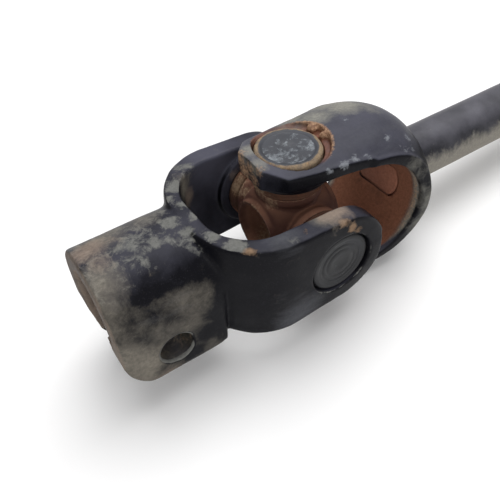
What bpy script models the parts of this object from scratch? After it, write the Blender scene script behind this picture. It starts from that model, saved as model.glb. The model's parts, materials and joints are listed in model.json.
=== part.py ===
"""Steering shaft with one universal joint.

A solid round shaft is fixed in the base of a horseshoe yoke. A cross with four needle
bearings joins it to a second yoke, whose collar clamps the next shaft with a pinch bolt.

The model is built about the centre of the joint, with X along the shaft away from the
collar, Z through the ears of the shaft's yoke and Y through the ears of the clamp yoke.
An empty then lays the whole on the ground, on one ear and on the end of the shaft.
"""

import math

import bmesh
import bpy
from mathutils import Matrix, Vector

MM = 0.001

# Running gap that the solids keep between pieces that touch
FIT = 0.3 * MM

# Bearing cups, which set the scale of the joint
CUP_RADIUS = 8.0 * MM
CUP_FACE = 20.8 * MM
CUP_LENGTH = 7.9 * MM
CUP_WALL = 1.0 * MM
CUP_FLOOR = 1.5 * MM
CUP_EDGE = 0.8 * MM
CUP_RIM = 1.7 * MM
CUP_SINK = 0.3 * MM
DIMPLE_RADIUS = 2.4 * MM
DIMPLE_DEPTH = 0.25 * MM

# Needle rollers, thrust pads and rubber seals
NEEDLE_DIAMETER = 1.8 * MM
NEEDLE_COUNT = 20
NEEDLE_LENGTH = 4.7 * MM
PAD_THICKNESS = 1.0 * MM
PAD_RADIUS = 4.4 * MM
SEAL_RADIUS = 8.8 * MM
SEAL_FLOOR = 1.1 * MM
SEAL_GROOVE = 0.4 * MM

# Cross
SHOULDER_RADIUS = 8.3 * MM
SHOULDER_RIM = 1.6 * MM
NECK_RADIUS = 7.4 * MM
HUB_RADIUS = 10.2 * MM
HUB_DEPTH = 10.2 * MM
HUB_RIM_RADIUS = 7.9 * MM
HUB_RIM_DEPTH = 1.5 * MM
HOLLOW_RADIUS = 6.9 * MM
HOLLOW_FLOOR_RADIUS = 5.2 * MM
HOLLOW_DEPTH = 5.6 * MM
JOURNAL_CHAMFER = 0.6 * MM

# Yoke of the shaft: ears, corners and base
EAR_FACE = 21.8 * MM
EAR_INNER = 15.7 * MM
EAR_TIP = 10.8 * MM
EAR_TIP_HALF = 4.6 * MM
EAR_CLIP = 4.2 * MM
EAR_CLIP_HALF = 9.4 * MM
EAR_HALF = 10.6 * MM
EAR_NECK_X = 17.0 * MM
EAR_NECK_HALF = 12.6 * MM
EAR_ROOT_HALF = 13.4 * MM
EAR_EDGE = 1.2 * MM
EAR_INNER_EDGE = 0.9 * MM
BASE_OUTER = 36.3 * MM
BASE_WALL = 6.3 * MM
BASE_CORNER_HALF = 16.6 * MM
BASE_HALF = 16.9 * MM
CORNER_ALONG = 17.4 * MM
CORNER_ACROSS = 13.3 * MM
CORNER_INNER = 15.3 * MM
# Least straight run that the inside of an ear keeps before its corner
EAR_STRAIGHT = 1.5 * MM

# Recess that the staking tool has opened in the upper ear, beside the cup
STAKE_RADIUS = 9.3 * MM
STAKE_AHEAD = 1.0 * MM
STAKE_ASIDE = 0.35 * MM
STAKE_DEPTH = 2.2 * MM

# Clamp yoke: ears, crotch, collar and lugs
CLAMP_EAR_FACE = 21.6 * MM
CLAMP_EAR_INNER = 15.7 * MM
CLAMP_EAR_HALF = 12.9 * MM
CLAMP_EAR_TIP = 11.9 * MM
CLAMP_EAR_CROWN = 0.6 * MM
CLAMP_EAR_EDGE = 1.3 * MM
CLAMP_EAR_INNER_EDGE = 1.1 * MM
CLAMP_ROOT_HALF = 13.6 * MM
CLAMP_BASE_OUTER = 30.0 * MM
CLAMP_BASE_INNER = 25.4 * MM
CLAMP_BASE_HALF = 14.5 * MM
CLAMP_CORNER_OUTER = 18.0 * MM
CLAMP_CORNER_INNER = 12.0 * MM
COLLAR_RADIUS = 14.4 * MM
COLLAR_END = 53.3 * MM
COLLAR_START = 27.4 * MM
COLLAR_EDGE = 0.9 * MM
COLLAR_BORE = 9.0 * MM
BORE_CHAMFER = 0.8 * MM
LUG_DEPTH = 17.3 * MM
LUG_ROUND = 12.0 * MM
LUG_REAR_ROUND = 5.0 * MM
LUG_CORNER = 3.0 * MM
SLIT_WIDTH = 3.2 * MM
BOLT_X = 40.6 * MM
BOLT_Z = 8.2 * MM
BOLT_HOLE_RADIUS = 4.1 * MM
BOLT_HOLE_CHAMFER = 0.4 * MM

# Bearing bores: mouth of each, and the boss round it on the inside of its ear
MOUTH_CHAMFER = 0.35 * MM
BOSS_FACE = 14.4 * MM
BOSS_RADIUS = 10.2 * MM
BOSS_EDGE = 0.4 * MM
CLAMP_BOSS_RADIUS = 11.3 * MM
# Ear sections stand square to the ear as far as this from the joint's centre
EAR_SQUARE_X = 8.6 * MM

# Shaft
SHAFT_RADIUS = 7.5 * MM
SHAFT_PROUD = 0.6 * MM
SHAFT_END = 180.0 * MM
SHAFT_CHAMFER = 1.2 * MM
SHAFT_INNER_CHAMFER = 0.8 * MM

# Facets, and how far a cutter runs past the faces that it cuts
OVERRUN = 4.0 * MM
TURN_STEPS = 28
BORE_STEPS = 36
CORNER_STEPS = 8

# Sizes that follow from those above
BASE_INNER = BASE_OUTER - BASE_WALL
SHAFT_INNER_END = BASE_INNER - SHAFT_PROUD
CUP_BORE = CUP_RADIUS - CUP_WALL
CUP_OPEN_END = CUP_FACE - CUP_LENGTH
NEEDLE_CENTRE = CUP_BORE - FIT - NEEDLE_DIAMETER / 2
JOURNAL_RADIUS = NEEDLE_CENTRE - NEEDLE_DIAMETER / 2 - FIT
PAD_OUTER = CUP_FACE - CUP_FLOOR - FIT
PAD_INNER = PAD_OUTER - PAD_THICKNESS
JOURNAL_END = PAD_INNER - FIT
NEEDLE_OUTER = JOURNAL_END
NEEDLE_INNER = NEEDLE_OUTER - NEEDLE_LENGTH
SEAL_SEAT = CUP_OPEN_END - FIT
SEAL_INNER = SEAL_SEAT - SEAL_FLOOR
SEAL_OUTER = BOSS_FACE - FIT
SHOULDER_END = SEAL_INNER - FIT
CUP_SEAT = CUP_RADIUS + FIT
SHAFT_SEAT = SHAFT_RADIUS + FIT

PAINT_BLACK = (0.016, 0.016, 0.020, 1.0)
STEEL_WORN = (0.090, 0.092, 0.098, 1.0)
STEEL_BRIGHT = (0.42, 0.41, 0.40, 1.0)
STEEL_RUSTY = (0.085, 0.036, 0.024, 1.0)
SHAFT_GREY = (0.055, 0.053, 0.058, 1.0)
RUBBER_BROWN = (0.060, 0.028, 0.020, 1.0)
NYLON_PALE = (0.55, 0.51, 0.42, 1.0)


def clear_scene():
    """Remove every object of the open scene."""
    for item in list(bpy.data.objects):
        bpy.data.objects.remove(item, do_unlink=True)


def collection(name):
    """Make a collection and hang it in the scene."""
    made = bpy.data.collections.new(name)
    bpy.context.scene.collection.children.link(made)
    return made


def principled(name, colour, roughness, metallic):
    """Principled material with one colour."""
    material = bpy.data.materials.new(name)
    material.use_nodes = True
    shader = material.node_tree.nodes["Principled BSDF"]
    shader.inputs["Base Color"].default_value = colour
    shader.inputs["Roughness"].default_value = roughness
    shader.inputs["Metallic"].default_value = metallic
    material.diffuse_color = colour
    return material


def add_object(name, mesh, group, material=None, parent=None):
    """Object from a mesh, linked, coloured and hung on its parent."""
    made = bpy.data.objects.new(name, mesh)
    group.objects.link(made)
    if material is not None:
        mesh.materials.append(material)
    if parent is not None:
        made.parent = parent
    return made


def evaluated_mesh(item):
    """Mesh of an object with its modifiers, or of a curve, as new data."""
    graph = bpy.context.evaluated_depsgraph_get()
    return bpy.data.meshes.new_from_object(item.evaluated_get(graph), depsgraph=graph)


def shade(mesh, angle=35.0):
    """Smooth shading with the hard edges kept."""
    mesh.shade_smooth()
    mesh.set_sharp_from_angle(angle=math.radians(angle))


def turned_mesh(name, profile, closed=False, steps=TURN_STEPS):
    """Turn a profile of radius and height pairs about Z with a Screw modifier."""
    outline = bpy.data.meshes.new(name)
    count = len(profile)
    edges = [(i, i + 1) for i in range(count - 1)]
    if closed:
        edges.append((count - 1, 0))
    outline.from_pydata([(radius, 0.0, height) for radius, height in profile], edges, [])
    lathe = bpy.data.objects.new(name + "_lathe", outline)
    bpy.context.scene.collection.objects.link(lathe)
    screw = lathe.modifiers.new("turn", "SCREW")
    screw.steps = steps
    screw.render_steps = steps
    screw.use_merge_vertices = True
    screw.merge_threshold = 0.00001
    mesh = evaluated_mesh(lathe)
    mesh.name = name
    bpy.data.objects.remove(lathe)
    bpy.data.meshes.remove(outline)
    shade(mesh)
    return mesh


def prism_mesh(name, outlines, half_height, edge=0.0):
    """Extrude flat outlines both ways along Z, with their rims rounded by edge."""
    curve = bpy.data.curves.new(name, "CURVE")
    curve.dimensions = "2D"
    curve.fill_mode = "BOTH"
    curve.extrude = half_height - edge
    curve.bevel_depth = edge
    curve.bevel_resolution = 2
    curve.offset = -edge
    for outline in outlines:
        spline = curve.splines.new("POLY")
        spline.points.add(len(outline) - 1)
        for point, (x, y) in zip(spline.points, outline):
            point.co = (x, y, 0.0, 1.0)
        spline.use_cyclic_u = True
    holder = bpy.data.objects.new(name + "_outline", curve)
    bpy.context.scene.collection.objects.link(holder)
    mesh = evaluated_mesh(holder)
    mesh.name = name
    bpy.data.objects.remove(holder)
    bpy.data.curves.remove(curve)
    shell = bmesh.new()
    shell.from_mesh(mesh)
    bmesh.ops.remove_doubles(shell, verts=shell.verts, dist=0.00001)
    bmesh.ops.recalc_face_normals(shell, faces=shell.faces)
    shell.to_mesh(mesh)
    shell.free()
    return mesh


def arc(centre_x, centre_y, radius, start, end, steps):
    """Points on an arc, from one angle in degrees to another."""
    angles = [math.radians(start + (end - start) * i / steps) for i in range(steps + 1)]
    return [(centre_x + radius * math.cos(a), centre_y + radius * math.sin(a)) for a in angles]


def lerp(first, last, share):
    """Value at a share of the way between two values."""
    return first + (last - first) * share


def between(keys, value):
    """Straight-line interpolation in a list of position and value pairs."""
    for (low, first), (high, last) in zip(keys, keys[1:]):
        if value <= high:
            return lerp(first, last, max(0.0, (value - low) / (high - low)))
    return keys[-1][1]


def yoke_section(half, depth, drop, face_steps, outer_edge, inner_edge):
    """Cross-section of a yoke arm as pairs of width and depth below the outer face.

    The outer face falls away from the middle by drop, a function of the width, and all
    four corners are rounded.
    """
    corner_steps = 3
    flat = half - outer_edge
    points = []
    for i in range(face_steps + 1):
        across = lerp(-flat, flat, i / face_steps)
        points.append((across, drop(abs(across))))
    shoulder = drop(flat) + outer_edge
    outer_corner = [(y, shoulder - x) for x, y in arc(0.0, flat, outer_edge, 0, 90, corner_steps)[1:]]
    points += outer_corner
    foot = depth - inner_edge
    points += arc(half - inner_edge, foot, inner_edge, 0, 90, corner_steps)
    points += arc(inner_edge - half, foot, inner_edge, 90, 180, corner_steps)
    points += [(-y, below) for y, below in reversed(outer_corner)]
    return points


def crowned_drop(crown, half):
    """Fall of a slightly crowned outer face."""
    return lambda across: crown * (across / half) ** 2


def turned_drop(form, outer, inner):
    """Fall from the middle of the outer face to the surface turned about X.

    The turned surface is a cylinder over the ears and a rounded shoulder on to the base.
    """
    corner_x = form["base_outer"] - form["corner_along"]
    corner_r = form["face"] - form["corner_across"]

    def inside(x, radius):
        if x <= corner_x:
            return radius <= form["face"]
        if radius <= corner_r:
            return x <= form["base_outer"]
        along = (x - corner_x) / form["corner_along"]
        return math.hypot(along, (radius - corner_r) / form["corner_across"]) <= 1

    def drop(across):
        low, high = 0.0, 1.0
        for _ in range(30):
            share = (low + high) / 2
            x = lerp(outer[0], inner[0], share)
            radius = math.hypot(across, lerp(outer[1], inner[1], share))
            if inside(x, radius):
                high = share
            else:
                low = share
        return high * math.dist(outer, inner)

    return drop


def loft_mesh(name, rings):
    """Skin a row of rings that have the same number of points, and cap both ends."""
    shell = bmesh.new()
    rows = [[shell.verts.new(point) for point in ring] for ring in rings]
    count = len(rows[0])
    for row, following in zip(rows, rows[1:]):
        for i in range(count):
            j = (i + 1) % count
            shell.faces.new((row[i], row[j], following[j], following[i]))
    shell.faces.new(list(reversed(rows[0])))
    shell.faces.new(rows[-1])
    bmesh.ops.recalc_face_normals(shell, faces=shell.faces)
    mesh = bpy.data.meshes.new(name)
    shell.to_mesh(mesh)
    shell.free()
    return mesh


def horseshoe_mesh(name, form):
    """Arm section swept from one ear tip round the base to the other ear tip.

    The form is a dictionary of sizes. Its ears point to -X, their bearing axis is Z and
    the arm's width lies along Y.
    """
    corner_x = form["base_outer"] - form["corner_along"]
    corner_z = form["face"] - form["corner_across"]
    inner_x = form["base_inner"] - form["corner_inner"]
    inner_z = form["inner"] - form["corner_inner"]
    stations = []
    for x in form["ear_stations"]:
        if x <= EAR_SQUARE_X:
            below = x
        else:
            below = lerp(EAR_SQUARE_X, inner_x, (x - EAR_SQUARE_X) / (corner_x - EAR_SQUARE_X))
        stations.append(((x, form["face"]), (below, form["inner"]), between(form["half_keys"], x)))
    quarter = arc(0.0, 0.0, 1.0, 90, 0, CORNER_STEPS)
    outer_arc = [(corner_x + x * form["corner_along"], corner_z + z * form["corner_across"])
                 for x, z in quarter]
    inner_arc = arc(inner_x, inner_z, form["corner_inner"], 90, 0, CORNER_STEPS)
    for i, (outer, inner) in enumerate(zip(outer_arc, inner_arc)):
        half = lerp(form["root_half"], form["base_corner_half"], i / CORNER_STEPS)
        stations.append((outer, inner, half))
    for share in (0.5, 1.0):
        outer = (form["base_outer"], corner_z * (1 - share))
        inner = (form["base_inner"], inner_z * (1 - share))
        stations.append((outer, inner, lerp(form["base_corner_half"], form["base_half"], share)))
    rings = []
    for outer, inner, half in stations:
        depth = math.dist(outer, inner)
        if form["turned"]:
            drop = turned_drop(form, outer, inner)
        else:
            drop = crowned_drop(form["crown"], half)
        ring = []
        section = yoke_section(half, depth, drop, form["face_steps"], form["edge"], form["inner_edge"])
        for across, below in section:
            share = below / depth
            ring.append((lerp(outer[0], inner[0], share), across, lerp(outer[1], inner[1], share)))
        rings.append(ring)
    lower = [[(x, y, -z) for x, y, z in ring] for ring in reversed(rings[:-1])]
    return loft_mesh(name, rings + lower)


def shaft_yoke_form():
    """Sizes of the horseshoe that the shaft is fixed in, which is turned all over outside."""
    clip_x = EAR_CLIP - EAR_TIP
    corner_x = BASE_OUTER - CORNER_ALONG
    half_keys = [(-EAR_TIP, EAR_TIP_HALF), (clip_x, EAR_CLIP_HALF), (0.0, EAR_HALF),
                 (EAR_NECK_X, EAR_NECK_HALF)]
    stations = [-EAR_TIP, (clip_x - EAR_TIP) / 2, clip_x, clip_x / 2, 0.0, EAR_SQUARE_X / 2, EAR_SQUARE_X]
    stations += [lerp(EAR_SQUARE_X, corner_x, share) for share in (0.25, 0.5, 0.75)]
    return {
        "turned": True,
        "face_steps": 7,
        "ear_stations": stations,
        "half_keys": half_keys,
        "face": EAR_FACE,
        "inner": EAR_INNER,
        "root_half": EAR_ROOT_HALF,
        "base_corner_half": BASE_CORNER_HALF,
        "base_half": BASE_HALF,
        "base_outer": BASE_OUTER,
        "base_inner": BASE_INNER,
        "corner_along": CORNER_ALONG,
        "corner_across": CORNER_ACROSS,
        "corner_inner": min(CORNER_INNER, BASE_INNER - EAR_SQUARE_X - EAR_STRAIGHT),
        "edge": EAR_EDGE,
        "inner_edge": EAR_INNER_EDGE,
    }


def clamp_yoke_form():
    """Sizes of the horseshoe that carries the collar, with round ear tips."""
    corner_x = CLAMP_BASE_OUTER - CLAMP_CORNER_OUTER
    tip_half = math.sqrt(CLAMP_EAR_HALF ** 2 - CLAMP_EAR_TIP ** 2)
    tip = [(-CLAMP_EAR_TIP, tip_half)]
    tip += arc(0.0, 0.0, CLAMP_EAR_HALF, 145, 90, 3)
    return {
        "turned": False,
        "face_steps": 4,
        "ear_stations": [x for x, _ in tip] + [corner_x * 0.3, EAR_SQUARE_X, (EAR_SQUARE_X + corner_x) / 2],
        "half_keys": tip + [(corner_x, CLAMP_ROOT_HALF)],
        "face": CLAMP_EAR_FACE,
        "inner": CLAMP_EAR_INNER,
        "crown": CLAMP_EAR_CROWN,
        "root_half": CLAMP_ROOT_HALF,
        "base_corner_half": CLAMP_BASE_HALF,
        "base_half": CLAMP_BASE_HALF,
        "base_outer": CLAMP_BASE_OUTER,
        "base_inner": CLAMP_BASE_INNER,
        "corner_along": CLAMP_CORNER_OUTER,
        "corner_across": CLAMP_CORNER_OUTER,
        "corner_inner": CLAMP_CORNER_INNER,
        "edge": CLAMP_EAR_EDGE,
        "inner_edge": CLAMP_EAR_INNER_EDGE,
    }


def drill_mesh(name, radius, face, chamfer, steps=BORE_STEPS):
    """Cutter for a through hole along Z that is chamfered at two faces."""
    mouth = radius + chamfer + OVERRUN
    profile = [(0.0, face + OVERRUN), (mouth, face + OVERRUN), (radius, face - chamfer)]
    profile += [(r, -z) for r, z in reversed(profile)]
    return turned_mesh(name, profile, steps=steps)


def add_cutter(name, mesh, group, parent, matrix=None):
    """Hidden object that a Boolean reads."""
    tool = add_object(name, mesh, group, parent=parent)
    tool.hide_render = True
    tool.display_type = "WIRE"
    if matrix is not None:
        tool.matrix_local = matrix
    return tool


def boolean(target, tool, operation):
    """Boolean modifier with the exact solver."""
    modifier = target.modifiers.new(tool.name, "BOOLEAN")
    modifier.operation = operation
    modifier.solver = "EXACT"
    modifier.object = tool


def add_bosses(yoke, radius, inner, turns, cutters, root):
    """Round boss on the inside of both ears of a yoke, one for each turn about X in degrees."""
    profile = [(0.0, inner + FIT * 2), (radius, inner + FIT * 2), (radius, BOSS_FACE + BOSS_EDGE),
               (radius - BOSS_EDGE, BOSS_FACE), (0.0, BOSS_FACE)]
    for turn in turns:
        name = yoke.name + "_boss_" + str(abs(turn)) + ("_far" if turn < 0 else "_near")
        boss = add_cutter(name, turned_mesh(name, profile), cutters, root,
                          Matrix.Rotation(math.radians(turn), 4, "X"))
        boolean(yoke, boss, "UNION")


ALONG_X = Matrix.Rotation(math.radians(90.0), 4, "Y")
ALONG_Y = Matrix.Rotation(math.radians(90.0), 4, "X")
# Lays the shaft and its seat along X with a flat facet undermost, for the part to lie on
SHAFT_TURN = Matrix.Rotation(math.pi / TURN_STEPS, 4, "X") @ ALONG_X
# Turns the horseshoe's own frame into the clamp yoke's: ears along +X and spread along Y
CLAMP_TURN = Matrix(((-1, 0, 0, 0), (0, 0, 1, 0), (0, 1, 0, 0), (0, 0, 0, 1)))
# Stands an outline drawn in X and Y up into X and Z
STAND_UP = Matrix.Rotation(math.radians(90.0), 4, "X")
# Lays an outline drawn in Y and Z, as X and Y, across the X axis
FACE_X = Matrix(((0, 0, 1, 0), (1, 0, 0, 0), (0, 1, 0, 0), (0, 0, 0, 1)))


def make_shaft_yoke(parts, cutters, root, material):
    """Horseshoe yoke, bored for its two bearings and for the shaft."""
    yoke = add_object("shaft_yoke", horseshoe_mesh("shaft_yoke", shaft_yoke_form()), parts, material, root)
    add_bosses(yoke, BOSS_RADIUS, EAR_INNER, (0, 180), cutters, root)
    bore = drill_mesh("shaft_yoke_bearing_bore", CUP_SEAT, EAR_FACE, MOUTH_CHAMFER)
    boolean(yoke, add_cutter("shaft_yoke_bearing_bore", bore, cutters, root), "DIFFERENCE")
    floor = EAR_FACE - STAKE_DEPTH
    recess = turned_mesh("stake_recess", [(0.0, EAR_FACE + OVERRUN), (STAKE_RADIUS, EAR_FACE + OVERRUN),
                                          (STAKE_RADIUS, floor), (0.0, floor)])
    recess_place = Matrix.Translation((STAKE_AHEAD, STAKE_ASIDE, 0.0))
    boolean(yoke, add_cutter("stake_recess", recess, cutters, root, recess_place), "DIFFERENCE")
    mouth = SHAFT_SEAT + SHAFT_INNER_CHAMFER * 2
    start = BASE_INNER - SHAFT_INNER_CHAMFER
    hole = turned_mesh("shaft_seat", [(0.0, BASE_OUTER + OVERRUN), (SHAFT_SEAT, BASE_OUTER + OVERRUN),
                                      (SHAFT_SEAT, BASE_INNER + SHAFT_INNER_CHAMFER),
                                      (mouth, start), (0.0, start)])
    boolean(yoke, add_cutter("shaft_seat", hole, cutters, root, SHAFT_TURN), "DIFFERENCE")
    shade_live(yoke)
    return yoke


def make_clamp_yoke(parts, cutters, root, material):
    """Collar with two pinch-bolt lugs, split underneath, with two ears flaring from it."""
    middle = -(COLLAR_END + COLLAR_START) / 2
    half_length = (COLLAR_END - COLLAR_START) / 2
    arch = arc(0.0, 0.0, COLLAR_RADIUS, 0, 180, 24)
    arch += arc(LUG_CORNER - COLLAR_RADIUS, LUG_CORNER - LUG_DEPTH, LUG_CORNER, 180, 270, 3)
    arch += arc(COLLAR_RADIUS - LUG_CORNER, LUG_CORNER - LUG_DEPTH, LUG_CORNER, 270, 360, 3)
    collar = prism_mesh("clamp_yoke", [arch], half_length, COLLAR_EDGE)
    collar.transform(Matrix.Translation((middle, 0.0, 0.0)) @ FACE_X)
    yoke = add_object("clamp_yoke", collar, parts, material, root)

    far = COLLAR_END + OVERRUN
    side = [(-far, far), (-far, -LUG_DEPTH + LUG_ROUND)]
    side += arc(LUG_ROUND - COLLAR_END, LUG_ROUND - LUG_DEPTH, LUG_ROUND, 180, 270, 6)
    side += arc(-COLLAR_START - LUG_REAR_ROUND, LUG_REAR_ROUND - LUG_DEPTH, LUG_REAR_ROUND, 270, 320, 4)
    side += [(-COLLAR_START + LUG_REAR_ROUND, -CLAMP_BASE_HALF), (-COLLAR_START + LUG_REAR_ROUND, far)]
    outline = prism_mesh("lug_outline", [side], COLLAR_RADIUS + OVERRUN)
    boolean(yoke, add_cutter("lug_outline", outline, cutters, root, STAND_UP), "INTERSECT")

    ears = horseshoe_mesh("clamp_ears", clamp_yoke_form())
    ears.transform(CLAMP_TURN)
    boolean(yoke, add_cutter("clamp_ears", ears, cutters, root), "UNION")
    add_bosses(yoke, CLAMP_BOSS_RADIUS, CLAMP_EAR_INNER, (90, -90), cutters, root)

    start = OVERRUN - CLAMP_BASE_INNER
    mouth = COLLAR_BORE + BORE_CHAMFER
    bore = turned_mesh("collar_bore", [(0.0, start), (COLLAR_BORE, start),
                                       (COLLAR_BORE, BORE_CHAMFER - COLLAR_END), (mouth, -COLLAR_END),
                                       (mouth, -far), (0.0, -far)], steps=BORE_STEPS)
    boolean(yoke, add_cutter("collar_bore", bore, cutters, root, ALONG_X), "DIFFERENCE")

    half_slit = SLIT_WIDTH / 2
    slit_top = -COLLAR_BORE / 2
    slit_outline = [(-half_slit, -far), (half_slit, -far), (half_slit, slit_top), (-half_slit, slit_top)]
    slit = prism_mesh("collar_slit", [slit_outline], far)
    boolean(yoke, add_cutter("collar_slit", slit, cutters, root, FACE_X), "DIFFERENCE")

    bolt = drill_mesh("bolt_hole", BOLT_HOLE_RADIUS, COLLAR_RADIUS, BOLT_HOLE_CHAMFER, steps=20)
    bolt_place = Matrix.Translation((-BOLT_X, 0.0, -BOLT_Z)) @ ALONG_Y
    boolean(yoke, add_cutter("bolt_hole", bolt, cutters, root, bolt_place), "DIFFERENCE")

    seat = drill_mesh("clamp_bearing_bore", CUP_SEAT, CLAMP_EAR_FACE, MOUTH_CHAMFER)
    boolean(yoke, add_cutter("clamp_bearing_bore", seat, cutters, root, ALONG_Y), "DIFFERENCE")
    shade_live(yoke)
    return yoke


def shade_live(item):
    """Smooth shading on a piece whose modifiers stay live, with the hard edges kept by angle."""
    shade(item.data)
    for modifier in item.modifiers:
        if modifier.object is not None:
            shade(modifier.object.data)


def make_shaft(parts, root, material):
    """Solid round shaft, chamfered at both ends."""
    profile = [(0.0, SHAFT_END), (SHAFT_RADIUS - SHAFT_CHAMFER, SHAFT_END),
               (SHAFT_RADIUS, SHAFT_END - SHAFT_CHAMFER),
               (SHAFT_RADIUS, SHAFT_INNER_END + SHAFT_INNER_CHAMFER),
               (SHAFT_RADIUS - SHAFT_INNER_CHAMFER, SHAFT_INNER_END), (0.0, SHAFT_INNER_END)]
    shaft = add_object("shaft", turned_mesh("shaft", profile), parts, material, root)
    shaft.matrix_local = SHAFT_TURN
    return shaft


def mirrored(half):
    """Whole profile of a turned piece from the half above its middle."""
    return half + [(radius, -height) for radius, height in reversed(half)]


def make_cross(parts, cutters, root, material):
    """Forged cross: four journals on shouldered arms round a barrel with hollow ends."""
    spindle = mirrored([(0.0, JOURNAL_END), (JOURNAL_RADIUS - JOURNAL_CHAMFER, JOURNAL_END),
                        (JOURNAL_RADIUS, JOURNAL_END - JOURNAL_CHAMFER), (JOURNAL_RADIUS, SHOULDER_END),
                        (SHOULDER_RADIUS, SHOULDER_END), (SHOULDER_RADIUS, SHOULDER_END - SHOULDER_RIM),
                        (NECK_RADIUS, SHOULDER_END - SHOULDER_RIM * 2)])
    cross = add_object("cross", turned_mesh("cross", spindle), parts, material, root)
    second = turned_mesh("cross_second_spindle", spindle)
    boolean(cross, add_cutter("cross_second_spindle", second, cutters, root, ALONG_Y), "UNION")

    bulge = HUB_DEPTH - HUB_RIM_DEPTH
    barrel = [(0.0, HUB_DEPTH), (HUB_RIM_RADIUS, HUB_DEPTH), (HUB_RIM_RADIUS, bulge)]
    for share in (0.15, 0.4, 0.7):
        swing = share * math.pi / 2
        barrel.append((lerp(HUB_RIM_RADIUS, HUB_RADIUS, math.sin(swing)), bulge * math.cos(swing)))
    hub = turned_mesh("cross_hub", mirrored(barrel))
    boolean(cross, add_cutter("cross_hub", hub, cutters, root, ALONG_X), "UNION")

    top = HUB_DEPTH + FIT
    hollow = [(0.0, top), (HOLLOW_RADIUS, top), (HOLLOW_RADIUS, HUB_DEPTH - HUB_RIM_DEPTH),
              (HOLLOW_FLOOR_RADIUS, HUB_DEPTH - HOLLOW_DEPTH), (0.0, HUB_DEPTH - HOLLOW_DEPTH)]
    for side, turn in (("front", -90.0), ("back", 90.0)):
        name = "cross_hollow_" + side
        place = Matrix.Rotation(math.radians(turn), 4, "Y")
        boolean(cross, add_cutter(name, turned_mesh(name, hollow), cutters, root, place), "DIFFERENCE")
    shade_live(cross)
    return cross


def cup_mesh():
    """Drawn bearing cup with a rounded rim round a sunk end that has a dimple."""
    step = CUP_EDGE * (1 - math.sqrt(0.5))
    floor = CUP_FACE - CUP_FLOOR
    end = CUP_FACE - CUP_SINK
    rim = CUP_RADIUS - CUP_RIM
    profile = [(0.0, end - DIMPLE_DEPTH), (DIMPLE_RADIUS - DIMPLE_DEPTH, end - DIMPLE_DEPTH),
               (DIMPLE_RADIUS, end), (rim - CUP_SINK, end), (rim, CUP_FACE),
               (CUP_RADIUS - CUP_EDGE, CUP_FACE),
               (CUP_RADIUS - step, CUP_FACE - step), (CUP_RADIUS, CUP_FACE - CUP_EDGE),
               (CUP_RADIUS, CUP_OPEN_END), (CUP_BORE, CUP_OPEN_END), (CUP_BORE, floor), (0.0, floor)]
    return turned_mesh("bearing_cup", profile)


def needle_set_mesh():
    """Ring of needle rollers that touch side by side, drawn as one scalloped ring."""
    web = 0.15 * MM
    radius = NEEDLE_DIAMETER / 2
    outer = []
    inner = []
    pitch = 2 * math.pi / NEEDLE_COUNT
    for needle in range(NEEDLE_COUNT):
        for offset in (-0.5, -0.2, 0.2):
            swing = offset * pitch
            across = NEEDLE_CENTRE * math.sin(swing)
            bulge = math.sqrt(max(0.0, radius ** 2 - across ** 2))
            middle = NEEDLE_CENTRE * math.cos(swing)
            angle = needle * pitch + swing
            for outline, reach in ((outer, middle + max(bulge, web)), (inner, middle - max(bulge, web))):
                outline.append((reach * math.cos(angle), reach * math.sin(angle)))
    mesh = prism_mesh("needle_set", [outer, list(reversed(inner))], NEEDLE_LENGTH / 2)
    mesh.transform(Matrix.Translation((0.0, 0.0, (NEEDLE_OUTER + NEEDLE_INNER) / 2)))
    shade(mesh)
    return mesh


def seal_mesh():
    """Seal that sleeves the open end of a cup and closes it against the shoulder of the cross."""
    bore = JOURNAL_RADIUS + FIT
    sleeve = CUP_RADIUS + FIT
    lip = SEAL_FLOOR / 3
    groove = SEAL_RADIUS - SEAL_GROOVE
    profile = [(sleeve, SEAL_OUTER), (SEAL_RADIUS, SEAL_OUTER), (SEAL_RADIUS, SEAL_SEAT),
               (groove, SEAL_SEAT - lip / 2), (groove, SEAL_SEAT - lip * 1.5),
               (SEAL_RADIUS, SEAL_SEAT - lip * 2), (groove, SEAL_INNER), (bore, SEAL_INNER),
               (bore, SEAL_SEAT), (sleeve, SEAL_SEAT)]
    return turned_mesh("seal", profile, closed=True)


def pad_mesh():
    """Thrust pad between the end of a journal and the floor of its cup."""
    profile = [(0.0, PAD_OUTER), (PAD_RADIUS, PAD_OUTER), (PAD_RADIUS, PAD_INNER), (0.0, PAD_INNER)]
    return turned_mesh("thrust_pad", profile, steps=16)


def make_bearings(parts, root, materials):
    """Cup, needle set, seal and thrust pad on each of the four journals."""
    meshes = {
        "bearing_cup": (cup_mesh(), "cup"),
        "needle_set": (needle_set_mesh(), "needles"),
        "seal": (seal_mesh(), "seal"),
        "thrust_pad": (pad_mesh(), "pad"),
    }
    for piece, (mesh, slot) in meshes.items():
        mesh.materials.append(materials[slot])
        for place, degrees in (("top", 0.0), ("bottom", 180.0), ("near", 90.0), ("far", -90.0)):
            bearing = add_object(place + "_" + piece, mesh, parts, parent=root)
            bearing.rotation_euler = (math.radians(degrees), 0.0, 0.0)


def rest_tilt():
    """Angle at which the part lies on the corner of its lower ear and on the end of its shaft.

    The ground touches the oval corner of the turned yoke and the rim of the shaft's end, so
    the angle is found by halving until both lie equally low.
    """
    corner_x = BASE_OUTER - CORNER_ALONG
    corner_z = EAR_FACE - CORNER_ACROSS
    low, high = 0.0, math.radians(30.0)
    for _ in range(40):
        angle = (low + high) / 2
        slope, level = math.sin(angle), math.cos(angle)
        yoke_depth = corner_x * slope + corner_z * level
        yoke_depth += math.hypot(CORNER_ALONG * slope, CORNER_ACROSS * level)
        shaft_depth = (SHAFT_END - SHAFT_CHAMFER) * slope + SHAFT_RADIUS * level
        if shaft_depth < yoke_depth:
            low = angle
        else:
            high = angle
    return high


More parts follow.
